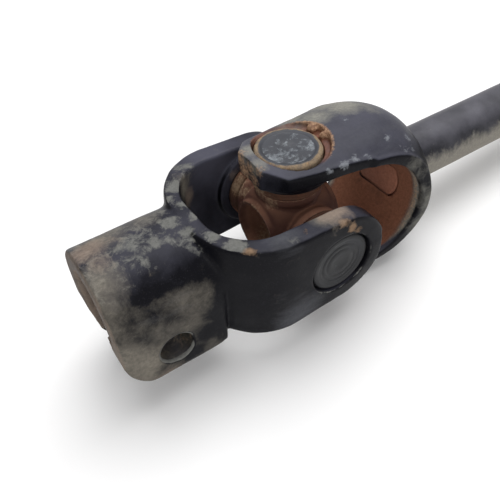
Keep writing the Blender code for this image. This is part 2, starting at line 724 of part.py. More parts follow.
def lay_down(root, parts):
    """Tilt the part to its rest, with the middle of its base at the world's origin."""
    root.rotation_euler = (0.0, rest_tilt(), 0.0)
    bpy.context.view_layer.update()
    corners = []
    for item in parts.objects:
        mesh = evaluated_mesh(item)
        corners += [item.matrix_world @ vertex.co for vertex in mesh.vertices]
        bpy.data.meshes.remove(mesh)
    low = Vector([min(corner[i] for corner in corners) for i in range(3)])
    high = Vector([max(corner[i] for corner in corners) for i in range(3)])
    root.location = (-(low.x + high.x) / 2, -(low.y + high.y) / 2, -low.z)
    bpy.context.view_layer.update()


def main():
    clear_scene()
    parts = collection("steering_shaft")
    cutters = collection("cutters")
    root = bpy.data.objects.new("joint_centre", None)
    bpy.context.scene.collection.objects.link(root)

    paint = principled("worn black paint", PAINT_BLACK, 0.45, 0.0)
    collar_metal = principled("rubbed grey steel", STEEL_WORN, 0.55, 0.6)
    shaft_metal = principled("grey painted steel", SHAFT_GREY, 0.4, 0.3)
    rusty = principled("rusty forged steel", STEEL_RUSTY, 0.7, 0.3)
    bearing_materials = {
        "cup": principled("dull drawn steel", STEEL_WORN, 0.4, 0.8),
        "needles": principled("ground steel", STEEL_BRIGHT, 0.2, 1.0),
        "seal": principled("dusty brown rubber", RUBBER_BROWN, 0.8, 0.0),
        "pad": principled("pale nylon", NYLON_PALE, 0.5, 0.0),
    }

    make_shaft_yoke(parts, cutters, root, paint)
    make_shaft(parts, root, shaft_metal)
    make_clamp_yoke(parts, cutters, root, collar_metal)
    make_cross(parts, cutters, root, rusty)
    make_bearings(parts, root, bearing_materials)
    lay_down(root, parts)


if __name__ == "__main__":
    main()
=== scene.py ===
"""Looks of a used steering shaft with a universal joint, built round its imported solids."""

import json
import math
from functools import partial
from types import SimpleNamespace

import bmesh
import bpy
import numpy as np
from bpy.props import FloatProperty, FloatVectorProperty, PointerProperty
from mathutils import Matrix


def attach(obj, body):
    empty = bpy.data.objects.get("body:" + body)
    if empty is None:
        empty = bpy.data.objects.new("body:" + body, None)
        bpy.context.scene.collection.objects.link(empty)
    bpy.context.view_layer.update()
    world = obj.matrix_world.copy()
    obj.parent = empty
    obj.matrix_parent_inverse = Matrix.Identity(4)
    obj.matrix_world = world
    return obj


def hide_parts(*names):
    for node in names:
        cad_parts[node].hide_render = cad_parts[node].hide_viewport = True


bl_info = {
    "name": "Steering Shaft Looks",
    "version": (1, 0, 0),
    "blender": (4, 5, 0),
    "location": "3D View > Sidebar > Steering Shaft",
    "description": "Builds the weathered yokes, cross, bearings and rod of a used steering shaft",
    "category": "Object",
}

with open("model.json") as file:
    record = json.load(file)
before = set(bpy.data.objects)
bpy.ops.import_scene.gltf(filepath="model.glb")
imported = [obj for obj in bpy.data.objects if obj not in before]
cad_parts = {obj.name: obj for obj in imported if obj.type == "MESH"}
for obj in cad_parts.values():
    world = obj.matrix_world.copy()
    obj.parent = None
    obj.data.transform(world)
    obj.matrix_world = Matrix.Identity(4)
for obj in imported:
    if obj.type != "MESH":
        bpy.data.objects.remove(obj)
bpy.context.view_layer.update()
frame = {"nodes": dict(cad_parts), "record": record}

# The joint's centre and axes. Shapes are worked out in millimetres from the centre, with X
# along the rod, Y along the clamp yoke's bearings and Z along the shaft yoke's bearings.
MM = 0.001
HINGES = frame["record"]["behaviour"]["joints"]
CENTRE = np.array(HINGES[0]["pos_m"])
UP = np.array(HINGES[0]["axis"])
ACROSS = np.array(HINGES[1]["axis"])
AXES = np.stack([np.cross(ACROSS, UP), ACROSS, UP])
TILT = math.atan2(UP[0], UP[2])

# Each row of a turn says where a shape's own X, Y or Z axis goes
TURN_TOP = np.eye(3)
TURN_BOTTOM = np.diag([1, -1, -1])
TURN_NEAR = np.array([[1, 0, 0], [0, 0, 1], [0, -1, 0]])
TURN_FAR = np.array([[1, 0, 0], [0, 0, -1], [0, 1, 0]])
TURN_ROD = np.array([[0, 1, 0], [0, 0, 1], [1, 0, 0]])
TURN_EARS = np.array([[-1, 0, 0], [0, 0, 1], [0, 1, 0]])


def linear(code):
    """Linear colour from an sRGB hex value, by the standard curve."""
    channels = [int(code[i:i + 2], 16) / 255 for i in (1, 3, 5)]
    return [c / 12.92 if c <= 0.04045 else ((c + 0.055) / 1.055) ** 2.4 for c in channels] + [1.0]


# Shapes as grids of points


def ramp(value, low, high):
    """Smooth step: 0 below low, 1 above high and 3t^2 - 2t^3 between."""
    t = np.clip((value - low) / (high - low), 0.0, 1.0)
    return t * t * (3 - 2 * t)


def lumps(points, size, seed):
    """Smooth random field from -1 to 1: random values at the corners of cubes of the given
    size in millimetres, blended along each axis by a smooth step."""
    table = np.random.default_rng(seed).uniform(-1, 1, 4096)
    cells = np.floor(points / size).astype(np.int64)
    t = points / size - cells
    t = t * t * (3 - 2 * t)
    total = np.zeros(len(points))
    for corner in np.ndindex(2, 2, 2):
        weight = np.prod(np.where(corner, t, 1 - t), axis=1)
        key = (cells + corner) * (73856093, 19349663, 83492791)
        total += weight * table[(key[:, 0] ^ key[:, 1] ^ key[:, 2]) % 4096]
    return total


def rough(points, size, seed, octaves=3):
    """Sum of random fields, each with half the size and half the height of the one before."""
    return sum(lumps(points, size / 2 ** i, seed + i) / 2 ** i for i in range(octaves))


def spots(points, places):
    """Greatest of several soft round spots, each given as x, y, z, radius and strength: it
    falls by a smooth step from its strength at the centre to nothing at its radius."""
    rows = np.array(places, dtype=float)
    reach = np.linalg.norm(points[:, None, :] - rows[None, :, :3], axis=2) / rows[:, 3]
    return np.max(rows[:, 4] * ramp(1 - reach, 0.0, 1.0), axis=1)


def write_points(mesh, points):
    """Put an array of points into a mesh."""
    mesh.vertices.foreach_set("co", points.astype(np.float32).ravel())


def new_mesh(name, points, quads):
    """Mesh from an array of points and an array of four-cornered faces."""
    mesh = bpy.data.meshes.new(name)
    mesh.vertices.add(len(points))
    write_points(mesh, points)
    mesh.loops.add(quads.size)
    mesh.loops.foreach_set("vertex_index", np.ascontiguousarray(quads, dtype=np.int32).ravel())
    mesh.polygons.add(len(quads))
    mesh.polygons.foreach_set("loop_start", np.arange(0, quads.size, 4, dtype=np.int32))
    mesh.update()
    mesh.validate()
    return mesh


def new_object(name, data):
    """Object in the scene for a mesh, a lamp or a camera."""
    item = bpy.data.objects.new(name, data)
    bpy.context.scene.collection.objects.link(item)
    return item


# Points nearer to each other than this, in millimetres, become one
WELD = 0.0005


def skin(name, grid, loop_rows=False):
    """Closed surface over a grid of rows, columns and coordinates. Columns always close on
    themselves. Rows that shrink to one point become poles."""
    rows, columns = grid.shape[:2]
    index = np.arange(rows * columns).reshape(rows, columns)
    if loop_rows:
        index = np.vstack([index, index[:1]])
    along = np.roll(index, -1, axis=1)
    quads = np.stack([index[:-1], along[:-1], along[1:], index[1:]], axis=-1).reshape(-1, 4)
    mesh = new_mesh(name, grid.reshape(-1, 3), quads)
    welded = bmesh.new()
    welded.from_mesh(mesh)
    bmesh.ops.remove_doubles(welded, verts=welded.verts, dist=WELD)
    bmesh.ops.recalc_face_normals(welded, faces=welded.faces)
    welded.to_mesh(mesh)
    welded.free()
    return mesh


def turned(name, profile, turn=TURN_TOP, steps=96, loop=False):
    """Profile of radius and height pairs, turned about Z: each point runs round a circle."""
    profile = np.array(profile, dtype=float)
    angle = np.linspace(0, 2 * math.pi, steps, endpoint=False)
    radius = profile[:, :1]
    height = np.repeat(profile[:, 1:], steps, axis=1)
    grid = np.stack([radius * np.cos(angle), radius * np.sin(angle), height], axis=-1)
    return skin(name, grid @ turn, loop_rows=loop)


def prism(name, outline, low, high, turn=TURN_TOP):
    """Outline of x and y pairs, carried from a low to a high level and closed at its middle."""
    outline = np.array(outline, dtype=float)
    middle = np.repeat(outline.mean(axis=0)[None], len(outline), axis=0)
    levels = [(middle, low), (outline, low), (outline, high), (middle, high)]
    grid = np.stack([np.column_stack([flat, np.full(len(flat), level)]) for flat, level in levels])
    return skin(name, grid @ turn)


def quarter(centre, reach, start, end, count):
    """Points on part of an ellipse: centre plus reach times cosine and sine of the angle."""
    angle = np.radians(np.linspace(start, end, count))
    return np.stack([centre[0] + reach[0] * np.cos(angle),
                     centre[1] + reach[1] * np.sin(angle)], axis=1)


def soften(points, edges, rounds, share=0.5):
    """Each round moves every point a share of the way to the mean of its neighbours."""
    count = np.bincount(edges.ravel(), minlength=len(points)).astype(float)
    moved = points.copy()
    for _ in range(rounds):
        total = np.empty_like(moved)
        for axis in range(3):
            value = moved[:, axis]
            total[:, axis] = (np.bincount(edges[:, 0], value[edges[:, 1]], len(points))
                              + np.bincount(edges[:, 1], value[edges[:, 0]], len(points)))
        moved += share * (total / count[:, None] - moved)
    return moved


def read_mesh(mesh):
    """Points, vertex normals and edges of a mesh as arrays."""
    points = np.empty((len(mesh.vertices), 3), dtype=np.float32)
    mesh.vertices.foreach_get("co", points.ravel())
    normals = np.empty((len(mesh.vertices), 3), dtype=np.float32)
    mesh.vertex_normals.foreach_get("vector", normals.ravel())
    edges = np.empty((len(mesh.edges), 2), dtype=np.int32)
    mesh.edges.foreach_get("vertices", edges.ravel())
    return points.astype(float), normals.astype(float), edges


# Add a mesh to a forging, take it away, or keep only what lies within it
JOIN, CUT, TRIM = "UNION", "DIFFERENCE", "INTERSECT"


def forged(name, steps, grain, rounds):
    """One forging from steps, each an operation and a mesh: they are joined or cut in turn,
    then the skin is laid again in small even faces and eased by a few rounds of smoothing."""
    made = [new_object(f"{name}_{i}", mesh) for i, (_, mesh) in enumerate(steps)]
    body = made[0]
    for tool, (operation, _) in zip(made[1:], steps[1:]):
        step = body.modifiers.new(tool.name, "BOOLEAN")
        step.object = tool
        step.operation = operation
        step.solver = "MANIFOLD"
    relaid = body.modifiers.new("relaid", "REMESH")
    relaid.mode = "VOXEL"
    relaid.voxel_size = grain
    bpy.context.view_layer.update()
    graph = bpy.context.evaluated_depsgraph_get()
    mesh = bpy.data.meshes.new_from_object(body.evaluated_get(graph), depsgraph=graph)
    for item in made:
        old = item.data
        bpy.data.objects.remove(item)
        bpy.data.meshes.remove(old)
    points, _, edges = read_mesh(mesh)
    write_points(mesh, soften(points, edges, rounds))
    mesh.update()
    return mesh


def edge_field(points, normals, edges, rounds=14):
    """How far each point stands out from its smoothed surroundings, in millimetres: above
    zero on outer edges and below zero in corners."""
    return np.einsum("ij,ij->i", points - soften(points, edges, rounds), normals)


def dented(mesh, points, normals, edges, depth, size, seed, octaves=3):
    """Sink every point by a depth plus the depth times a random field, write the points to the
    mesh, and give how far each then stands out from its surroundings."""
    points -= normals * (depth + depth * rough(points, size, seed, octaves))[:, None]
    write_points(mesh, points)
    return edge_field(points, normals, edges)


def edge_worn(edge):
    """Wear on outer edges, from 0 on flat ground to 1 where an edge stands out by 0.2 mm."""
    return ramp(edge, 0.05, 0.2)


def store(mesh, **fields):
    """Write numbers per point, for a material to read."""
    for name, values in fields.items():
        layer = mesh.attributes.new(name, "FLOAT", "POINT")
        full = np.broadcast_to(np.asarray(values, dtype=np.float32), len(mesh.vertices))
        layer.data.foreach_set("value", np.ascontiguousarray(full))


def facing_up(normals):
    """How far a surface faces the sky: 0 on the sides and below, 1 on top."""
    return ramp(normals[:, 2], 0.45, 1.0)


def add_piece(name, mesh, body, slot, material, *replaced):
    """Put a mesh in joint millimetres in its place, as a piece that rides on a body and hides
    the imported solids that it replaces."""
    points, _, _ = read_mesh(mesh)
    write_points(mesh, CENTRE + (points * MM) @ AXES)
    mesh.shade_smooth()
    mesh.update()
    mesh.name = name
    mesh.materials.clear()
    mesh.materials.append(material)
    piece = new_object(name, mesh)
    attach(piece, body)
    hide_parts(*replaced)


# Materials


def add_node(tree, kind, inputs=None, out=0, **settings):
    """Add a node, set its settings, fill or link its inputs by name or number, and give one of
    its outputs by name or number."""
    node = tree.nodes.new("ShaderNode" + kind)
    for key, value in settings.items():
        setattr(node, key, value)
    for key, value in (inputs or {}).items():
        if isinstance(value, bpy.types.NodeSocket):
            tree.links.new(value, node.inputs[key])
        else:
            node.inputs[key].default_value = value
    return node.outputs[out] if node.outputs else None


def emptied(owner):
    """A new material or world with an empty node tree, and add_node for that tree."""
    owner.use_nodes = True
    owner.node_tree.nodes.clear()
    return owner, partial(add_node, owner.node_tree)


def weathered(name, look):
    """Steel under layers, from the bottom up: paint or scale in two tones, pale specks, then
    each layer of the look. A layer has its two colours, the noise that breaks it up and by how
    much, the two levels between which it goes from none to full, its cover, its roughness and
    how far it lifts the skin in millimetres. The numbers on each point of a piece say where a
    layer is likely. Tone says where the paint takes its lighter colour: in part at random, and
    in part as painted light on tops and on the other faces that the pieces mark as lit.
    """
    material, add = emptied(bpy.data.materials.new(name))
    place = add("TexCoord", out="Object")
    place = add("Mapping", {
        "Vector": place, "Location": CENTRE, "Rotation": (0.0, TILT, 0.0),
        "Scale": (MM, MM, MM)}, vector_type="TEXTURE")
    drawn = add("VectorMath", {0: place, 1: (0.22, 1.0, 1.0)}, operation="MULTIPLY")
    noises = {}
    # Scales per millimetre: clouds are 8 mm across, blotches 2 to 5, fine grains 0.7, grit
    # 0.17, and streaks 2 mm wide and 9 mm long
    for key, vector, scale, detail, roughness, distortion in (
            ("cloud", place, 0.13, 5.0, 0.60, 0.0),
            ("blotch", place, look["blotch"], 10.0, 0.74, 0.35),
            ("fine", place, 1.5, 6.0, 0.65, 0.0),
            ("grit", place, 6.0, 3.0, 0.50, 0.0),
            ("streak", drawn, 0.5, 3.0, 0.60, 0.3)):
        noises[key] = add("TexNoise", {
            "Vector": vector, "Scale": scale, "Detail": detail, "Roughness": roughness,
            "Distortion": distortion})
    grain = add("MapRange", {"Value": noises["fine"], "From Min": 0.15, "From Max": 0.85})

    # Tone: random clouds plus each piece's numbers, which are in part painted light
    tone = add("Attribute", out="Fac", attribute_name="tone")
    tone = add("Math", {0: noises["cloud"], 1: 0.9, 2: tone}, operation="MULTIPLY_ADD")
    tone = add("MapRange", {"Value": tone, "From Min": 0.60, "From Max": 1.45})
    colour = add("Mix", {
        "Factor": tone, 6: linear(look["paint"][0]), 7: linear(look["paint"][1])}, 2,
        data_type="RGBA")
    speck = add("MapRange", {
        "Value": noises["grit"], "From Min": 0.64, "From Max": 0.74, "To Max": look["speck"]})
    colour = add("Mix", {"Factor": speck, 6: colour, 7: linear(look["pale"])}, 2, data_type="RGBA")
    gloss = add("MapRange", {
        "Value": noises["cloud"], "From Min": 0.30, "From Max": 0.70,
        "To Min": look["gloss"][0], "To Max": look["gloss"][1]})
    height = add("Math", {0: noises["grit"], 1: look["grit"]}, operation="MULTIPLY")
    height = add("Math", {0: noises["blotch"], 1: look["wave"], 2: height},
                 operation="MULTIPLY_ADD")
    for key, layer in look["layers"].items():
        first, second, noise, gain, low, high, most, roughness, lift = layer
        field = add("Attribute", out="Fac", attribute_name=key)
        sway = add("Math", {0: noises[noise], 1: gain, 2: -gain / 2}, operation="MULTIPLY_ADD")
        total = add("Math", {0: field, 1: sway}, operation="ADD")
        cover = add("MapRange", {
            "Value": total, "From Min": low, "From Max": high, "To Max": most})
        shade = add("Mix", {"Factor": grain, 6: linear(first), 7: linear(second)}, 2,
                    data_type="RGBA")
        colour = add("Mix", {"Factor": cover, 6: colour, 7: shade}, 2, data_type="RGBA")
        gloss = add("Mix", {"Factor": cover, 2: gloss, 3: roughness}, data_type="FLOAT")
        rise = add("Math", {0: cover, 1: lift}, operation="MULTIPLY")
        height = add("Math", {0: rise, 1: noises["fine"], 2: height}, operation="MULTIPLY_ADD")
    bump = add("Bump", {"Height": height, "Distance": MM, "Strength": 1.0})
    shader = add("BsdfPrincipled", {
        "Base Color": colour, "Roughness": gloss, "Normal": bump,
        "Specular IOR Level": look["specular"]})
    add("OutputMaterial", {"Surface": shader})
    return material


# Black stoving paint on a forging: near black on the sides and dull slate on top, the slate
# being painted light from above; worn through to grey oxide in sharp-edged blotches, under a
# khaki film and tan crumbs
PAINTED_FORGING = dict(
    paint=("#0c0c11", "#484853"), pale="#6a6970", gloss=(0.30, 0.50),
    specular=0.09, blotch=0.30, speck=0.3, grit=0.02, wave=0.05,
    layers=dict(
        # Streaky grey over the paint; where the pieces set it high it is painted sheen
        haze=("#3c3d43", "#5c5d61", "streak", 0.8, 0.30, 1.00, 0.75, 0.60, 0.0),
        bare=("#555552", "#7d7d79", "blotch", 1.7, 0.48, 0.68, 0.88, 0.62, -0.08),
        film=("#605c55", "#8f887c", "blotch", 1.10, 0.10, 1.05, 0.84, 0.75, 0.02),
        rust=("#6b5645", "#977e66", "blotch", 2.4, 0.45, 0.85, 0.92, 0.85, 0.25),
        dust=("#73665c", "#918276", "blotch", 1.4, 0.40, 1.05, 0.90, 0.92, 0.05)))
# The turned yoke has the same paint, with dark brown rust in its slot and orange-tan dirt round
# the staked cup
PAINTED_TURNING = dict(PAINTED_FORGING, layers=dict(
    PAINTED_FORGING["layers"],
    bare=("#63666b", "#8d9096", "blotch", 2.3, 0.48, 0.66, 0.80, 0.60, -0.06),
    film=("#66655f", "#9a988f", "blotch", 1.2, 0.25, 0.95, 0.9, 0.75, 0.02),
    rust=("#62402f", "#92624d", "cloud", 1.3, 0.30, 0.85, 1.0, 0.85, 0.12),
    dust=("#8f6e52", "#c2a084", "fine", 1.6, 0.45, 1.00, 0.95, 0.92, 0.30)))
# Bare forged steel that has rusted evenly: a dry brown skin with darker pits and pale dust
RUSTY_FORGING = dict(
    paint=("#573930", "#835d4b"), pale="#8d6c57", gloss=(0.75, 0.85),
    specular=0.25, blotch=0.40, speck=0.25, grit=0.05, wave=0.10,
    layers=dict(
        bare=("#6d5142", "#93765f", "blotch", 1.4, 0.50, 0.65, 0.9, 0.80, 0.0),
        rust=("#5f3629", "#8e563f", "fine", 1.3, 0.45, 0.75, 1.0, 0.85, 0.20),
        dust=("#8d6f58", "#b89f82", "fine", 1.3, 0.45, 1.05, 0.95, 0.92, 0.10)))
# Drawn bearing steel, blackened and handled: smooth slate with soft pale scuffs
DULL_DRAWN_STEEL = dict(
    paint=("#131417", "#42444b"), pale="#7b7f84", gloss=(0.40, 0.58),
    specular=0.3, blotch=0.30, speck=0.2, grit=0.015, wave=0.03,
    layers=dict(
        bare=("#6a6f75", "#92989d", "blotch", 2.2, 0.50, 0.72, 0.80, 0.55, 0.0),
        rust=("#7c4a2c", "#c08b5c", "fine", 1.4, 0.50, 0.75, 1.0, 0.85, 0.20),
        dust=("#7a6650", "#a39076", "blotch", 2.2, 0.35, 0.85, 0.92, 0.90, 0.12)))
# Cold drawn rod under thin grey paint, with a khaki film along its lower side
PAINTED_ROD = dict(
    paint=("#1d1d23", "#66656d"), pale="#8d8a80", gloss=(0.40, 0.55),
    specular=0.3, blotch=0.22, speck=0.3, grit=0.02, wave=0.03,
    layers=dict(
        bare=("#5f5e5c", "#8a8984", "blotch", 1.7, 0.50, 0.65, 0.85, 0.62, 0.0),
        film=("#706c65", "#989387", "blotch", 1.5, 0.35, 0.80, 0.85, 0.80, 0.0),
        rust=("#6d4536", "#9c6852", "fine", 1.3, 0.45, 0.75, 1.0, 0.85, 0.12)))
# Moulded rubber seal, brown with rust from the cross and dry dust in its grooves
DUSTY_RUBBER = dict(
    paint=("#32241f", "#5c4033"), pale="#7d6350", gloss=(0.80, 0.90),
    specular=0.2, blotch=0.5, speck=0.2, grit=0.03, wave=0.03,
    layers=dict(
        rust=("#5b3424", "#8e5a3c", "fine", 1.4, 0.50, 0.80, 0.9, 0.85, 0.10),
        dust=("#7f6a55", "#a18a70", "fine", 1.3, 0.45, 1.05, 0.9, 0.90, 0.10)))


def plain_finish(name, first, second, metallic, roughness, scale):
    """Finish of a piece hidden inside a cup: two close tones mixed by fine noise, whose scale
    is given per metre."""
    material, add = emptied(bpy.data.materials.new(name))
    place = add("TexCoord", out="Object")
    noise = add("TexNoise", {"Vector": place, "Scale": scale, "Detail": 4.0})
    colour = add("Mix", {"Factor": noise, 6: linear(first), 7: linear(second)}, 2,
                 data_type="RGBA")
    bump = add("Bump", {"Height": noise, "Distance": 0.02 * MM})
    shader = add("BsdfPrincipled", {
        "Base Color": colour, "Metallic": metallic, "Roughness": roughness, "Normal": bump})
    add("OutputMaterial", {"Surface": shader})
    return material


# Pieces


# Points along a yoke arm (ear, bend, half base), across it (face, edge, underside), and how
# often a line is halved to find the turned surface
EAR_STEPS, BEND_STEPS, BASE_STEPS = 60, 50, 16
FACE_STEPS, EDGE_STEPS, UNDER_STEPS = 33, 9, 25
HALVINGS = 26


def arm(name, form):
    """Yoke arm as a grid: stations run from one ear tip round the base to the other, and each
    station is a rounded section between a point on the outer path and one on the inner path.
    On the turned yoke every point of the outer face lies on the surface turned about X, found
    by halving along the line from the outer to the inner path."""
    cx = form.base_outer - form.corner_along
    cz = form.face - form.corner_across
    ix = form.base_inner - form.corner_inner
    iz = form.inner - form.corner_inner
    ear = np.linspace(-form.tip, cx, EAR_STEPS)[:-1]
    beneath = np.where(ear <= form.square, ear, form.square + (ear - form.square)
                       * (ix - form.square) / (cx - form.square))
    bend = (form.corner_along, form.corner_across)
    outer = [np.stack([ear, np.full_like(ear, form.face)], axis=1),
             quarter((cx, cz), bend, 90, 0, BEND_STEPS)]
    inner = [np.stack([beneath, np.full_like(ear, form.inner)], axis=1),
             quarter((ix, iz), (form.corner_inner, form.corner_inner), 90, 0, BEND_STEPS)]
    half = [np.interp(ear, *np.array(form.halves).T),
            np.linspace(form.root_half, form.corner_half, BEND_STEPS)]
    down = np.linspace(1, 0, BASE_STEPS)[1:]
    outer.append(np.stack([np.full_like(down, form.base_outer), cz * down], axis=1))
    inner.append(np.stack([np.full_like(down, form.base_inner), iz * down], axis=1))
    half.append(form.base_half + (form.corner_half - form.base_half) * down)
    outer, inner, half = np.concatenate(outer), np.concatenate(inner), np.concatenate(half)
    depth = np.linalg.norm(outer - inner, axis=1)[:, None]

    def between(share):
        """Place at a share of the way from the outer to the inner path."""
        return [outer[:, i:i + 1] + (inner - outer)[:, i:i + 1] * share for i in (0, 1)]

    flat = (half - form.edge)[:, None]
    face_across = flat * np.linspace(-1, 1, FACE_STEPS)[None]
    if form.turned:
        low = np.zeros_like(face_across)
        high = np.ones_like(face_across)
        for _ in range(HALVINGS):
            share = (low + high) / 2
            x, z = between(share)
            r = np.hypot(face_across, z)
            round_corner = np.hypot((x - cx) / bend[0], (r - cz) / bend[1]) <= 1
            within = np.where(x <= cx, r <= form.face,
                              np.where(r <= cz, x <= form.base_outer, round_corner))
            high = np.where(within, share, high)
            low = np.where(within, low, share)
        face_below = high * depth
    else:
        face_below = form.crown * (face_across / half[:, None]) ** 2
    turn = np.radians(np.linspace(0, 90, EDGE_STEPS))[None, 1:]
    shoulder = face_below[:, -1:] + form.edge
    side_across = flat + form.edge * np.sin(turn)
    side_below = shoulder - form.edge * np.cos(turn)
    foot = depth - form.inner_edge
    run = np.linspace(0, 1, EDGE_STEPS)[None, 1:]
    flank_across = np.repeat(half[:, None], EDGE_STEPS - 1, axis=1)
    flank_below = shoulder + (foot - shoulder) * run
    toe_across = half[:, None] - form.inner_edge * (1 - np.cos(turn))
    toe_below = foot + form.inner_edge * np.sin(turn)
    right_across = np.hstack([side_across, flank_across, toe_across])
    right_below = np.hstack([side_below, flank_below, toe_below])
    under = np.linspace(1, -1, UNDER_STEPS)[None, 1:-1]
    under_across = (half[:, None] - form.inner_edge) * under
    under_below = np.repeat(depth, under.shape[1], axis=1)
    across = np.hstack([face_across, right_across, under_across, -right_across[:, ::-1]])
    below = np.hstack([face_below, right_below, under_below, right_below[:, ::-1]])
    x, z = between(below / depth)
    upper = np.stack([x, across, z], axis=-1)
    lower = upper[-2::-1] * (1, 1, -1)
    grid = np.concatenate([upper, lower])
    caps = [np.repeat(end.mean(axis=0)[None], grid.shape[1], axis=0)[None]
            for end in (grid[0], grid[-1])]
    return skin(name, np.concatenate([caps[0], grid, caps[1]]) @ form.turn)


# Measures in millimetres: the bearing bores' radius and chamfer, how far out the bosses' faces
# and roots lie, and for each arm how far its faces and bases lie from the joint's centre, its
# half widths along the ears, at the corner and at the base, the reaches of its corners, and
# the rounding of its edges.
CUP_SEAT, BORE_MOUTH = 8.3, 0.35
BOSS_FACE, BOSS_ROOT = 14.4, 16.3
SHAFT_YOKE = SimpleNamespace(
    turned=True, face=21.8, inner=15.7, tip=10.8, square=8.6, root_half=13.4,
    halves=[(-10.8, 4.6), (-6.6, 9.4), (0.0, 10.6), (17.0, 12.6), (18.9, 13.4)],
    corner_half=16.6, base_half=16.9, base_outer=36.3, base_inner=30.0,
    corner_along=17.4, corner_across=13.3, corner_inner=15.3,
    edge=0.9, inner_edge=0.7, turn=TURN_TOP)
# The clamp yoke's ears end in a round tip that is cut off square
TIP_RADIUS, TIP_CUT = 12.9, 11.9
TIP_ANGLES = np.radians(np.linspace(np.degrees(np.arccos(-TIP_CUT / TIP_RADIUS)), 90, 24))
CLAMP_YOKE = SimpleNamespace(
    turned=False, crown=0.6, face=21.6, inner=15.7, tip=TIP_CUT, square=8.6,
    halves=[(TIP_RADIUS * math.cos(a), TIP_RADIUS * math.sin(a)) for a in TIP_ANGLES]
    + [(12.0, 13.6)],
    root_half=13.6, corner_half=14.5, base_half=14.5, base_outer=30.0,
    base_inner=25.4, corner_along=18.0, corner_across=18.0, corner_inner=12.0,
    edge=0.9, inner_edge=0.9, turn=TURN_EARS)
# Middle and radius of the pinch bolt's hole, end of the collar, middle of the staked crescent,
# and the radius of the rod
BOLT_ALONG, BOLT_UP, BOLT_RADIUS = -40.6, -8.2, 4.1
COLLAR_RADIUS, COLLAR_END = 14.4, -53.3
STAKE_ALONG, STAKE_ACROSS = 1.0, 0.35
ROD_RADIUS = 7.5


def mirrored(half):
    """Whole profile of a turned piece from the half above its middle."""
    return half + [(r, -h) for r, h in half[::-1]]


def bore(name, radius, face, turn, mouth=BORE_MOUTH):
    """Cutter for a through hole with chamfered mouths at both faces."""
    side = [(0, face + 4), (radius + mouth + 4, face + 4), (radius, face - mouth)]
    return turned(name, mirrored(side), turn)


def boss(name, radius, turn):
    """Round boss that backs a bearing bore on the inside of an ear."""
    return turned(name, [(0, BOSS_ROOT), (radius, BOSS_ROOT), (radius, BOSS_FACE + 0.4),
                         (radius - 0.4, BOSS_FACE), (0, BOSS_FACE)], turn)


def pebble(name, centre, reach, seed):
    """Crumb of staked metal: a ball stretched to three reaches and dented by a random field."""
    angle = np.linspace(0, math.pi, 17)
    mesh = turned(name, np.stack([np.sin(angle), np.cos(angle)], axis=1), steps=32)
    points, _, _ = read_mesh(mesh)
    points *= 1 + 0.28 * rough(points, 0.9, seed)[:, None]
    write_points(mesh, points * reach + centre)
    return mesh


def shift(mesh, offset):
    """Move a mesh by an offset in millimetres."""
    points, _, _ = read_mesh(mesh)
    write_points(mesh, points + offset)
    return mesh


def turned_depth(points):
    """Depth of each point under the turned surface of the shaft's yoke, in millimetres."""
    form = SHAFT_YOKE
    x, y, z = points.T
    r = np.hypot(y, z)
    cx = form.base_outer - form.corner_along
    cz = form.face - form.corner_across
    bend = np.hypot(np.maximum(x - cx, 0) / form.corner_along,
                    np.maximum(r - cz, 0) / form.corner_across)
    return np.where(x <= cx, form.face - r, (1 - bend) * form.corner_across)


def shaft_yoke_mesh():
    """Turned horseshoe, bored and staked. The staking tool has opened a crescent in the upper
    ear behind the cup: a second circle, set off from the bore, cut 2 mm deep."""
    crescent = shift(turned("crescent", [(0, 26), (9.35, 26), (9.15, 19.6), (0, 19.6)]),
                     (STAKE_ALONG, STAKE_ACROSS, 0.0))
    seat = turned("rod_seat", [(0, 40), (7.3, 40), (7.3, 30.7), (8.2, 29.5), (0, 29.5)], TURN_ROD)
    mesh = forged("shaft_yoke_look", [
        (JOIN, arm("arm", SHAFT_YOKE)),
        (JOIN, boss("boss_top", 10.2, TURN_TOP)),
        (JOIN, boss("boss_bottom", 10.2, TURN_BOTTOM)),
        (CUT, bore("bore", CUP_SEAT, SHAFT_YOKE.face, TURN_TOP)),
        (CUT, crescent),
        (JOIN, pebble("stake_a", (8.7, 2.7, 20.5), (1.0, 1.3, 1.1), 3)),
        (JOIN, pebble("stake_b", (9.3, -0.9, 20.4), (1.1, 0.9, 1.1), 4)),
        (CUT, seat)], 0.3, 3)
    points, normals, edges = read_mesh(mesh)
    edge = dented(mesh, points, normals, edges, 0.05, 5.0, 11)
    x, y, z = points.T
    inward = -np.einsum("ij,ij->i", points, normals) / np.linalg.norm(points, axis=1)
    inner = ramp(inward, 0.1, 0.45) * ramp(turned_depth(points), 2.0, 3.2)
    reach = np.hypot(x - STAKE_ALONG, y - STAKE_ACROSS)
    top_ring = ramp(reach, 10.2, 9.3) * ramp(z, 17, 19)
    behind = ramp(x + y * 0.6, -7, 4)
    ring_dirt = 0.8 * ramp(reach, 10.7, 9.4) * ramp(z, 19.3, 20.8) * behind
    brink = ramp(np.abs(y), 11.5, 14.8)
    # Painted light: tone and haze grow on faces that look up, and tone on the ear tips that face
    # left, as lighter paint for light from above and from the left. The haze spots are painted
    # sheen on the top.
    store(mesh,
          tone=0.85 * facing_up(normals) + 0.3 * ramp(x, -5.5, -9.0),
          bare=np.maximum(spots(points, SHAFT_YOKE_BARE), 0.45 * edge_worn(edge)),
          haze=np.maximum(0.15 + 0.35 * facing_up(normals), spots(points, SHAFT_YOKE_HAZE_AND_SHEEN)),
          film=np.maximum(spots(points, SHAFT_YOKE_FILM_AND_HIGHLIGHT), inner * brink * 1.4),
          rust=np.maximum(inner * (1 - top_ring) * (0.9 - 0.75 * brink),
                          top_ring * (0.35 + 0.25 * behind)),
          dust=np.maximum.reduce([spots(points, SHAFT_YOKE_DUST), ring_dirt,
                                  inner * brink * 0.8]))
    return mesh


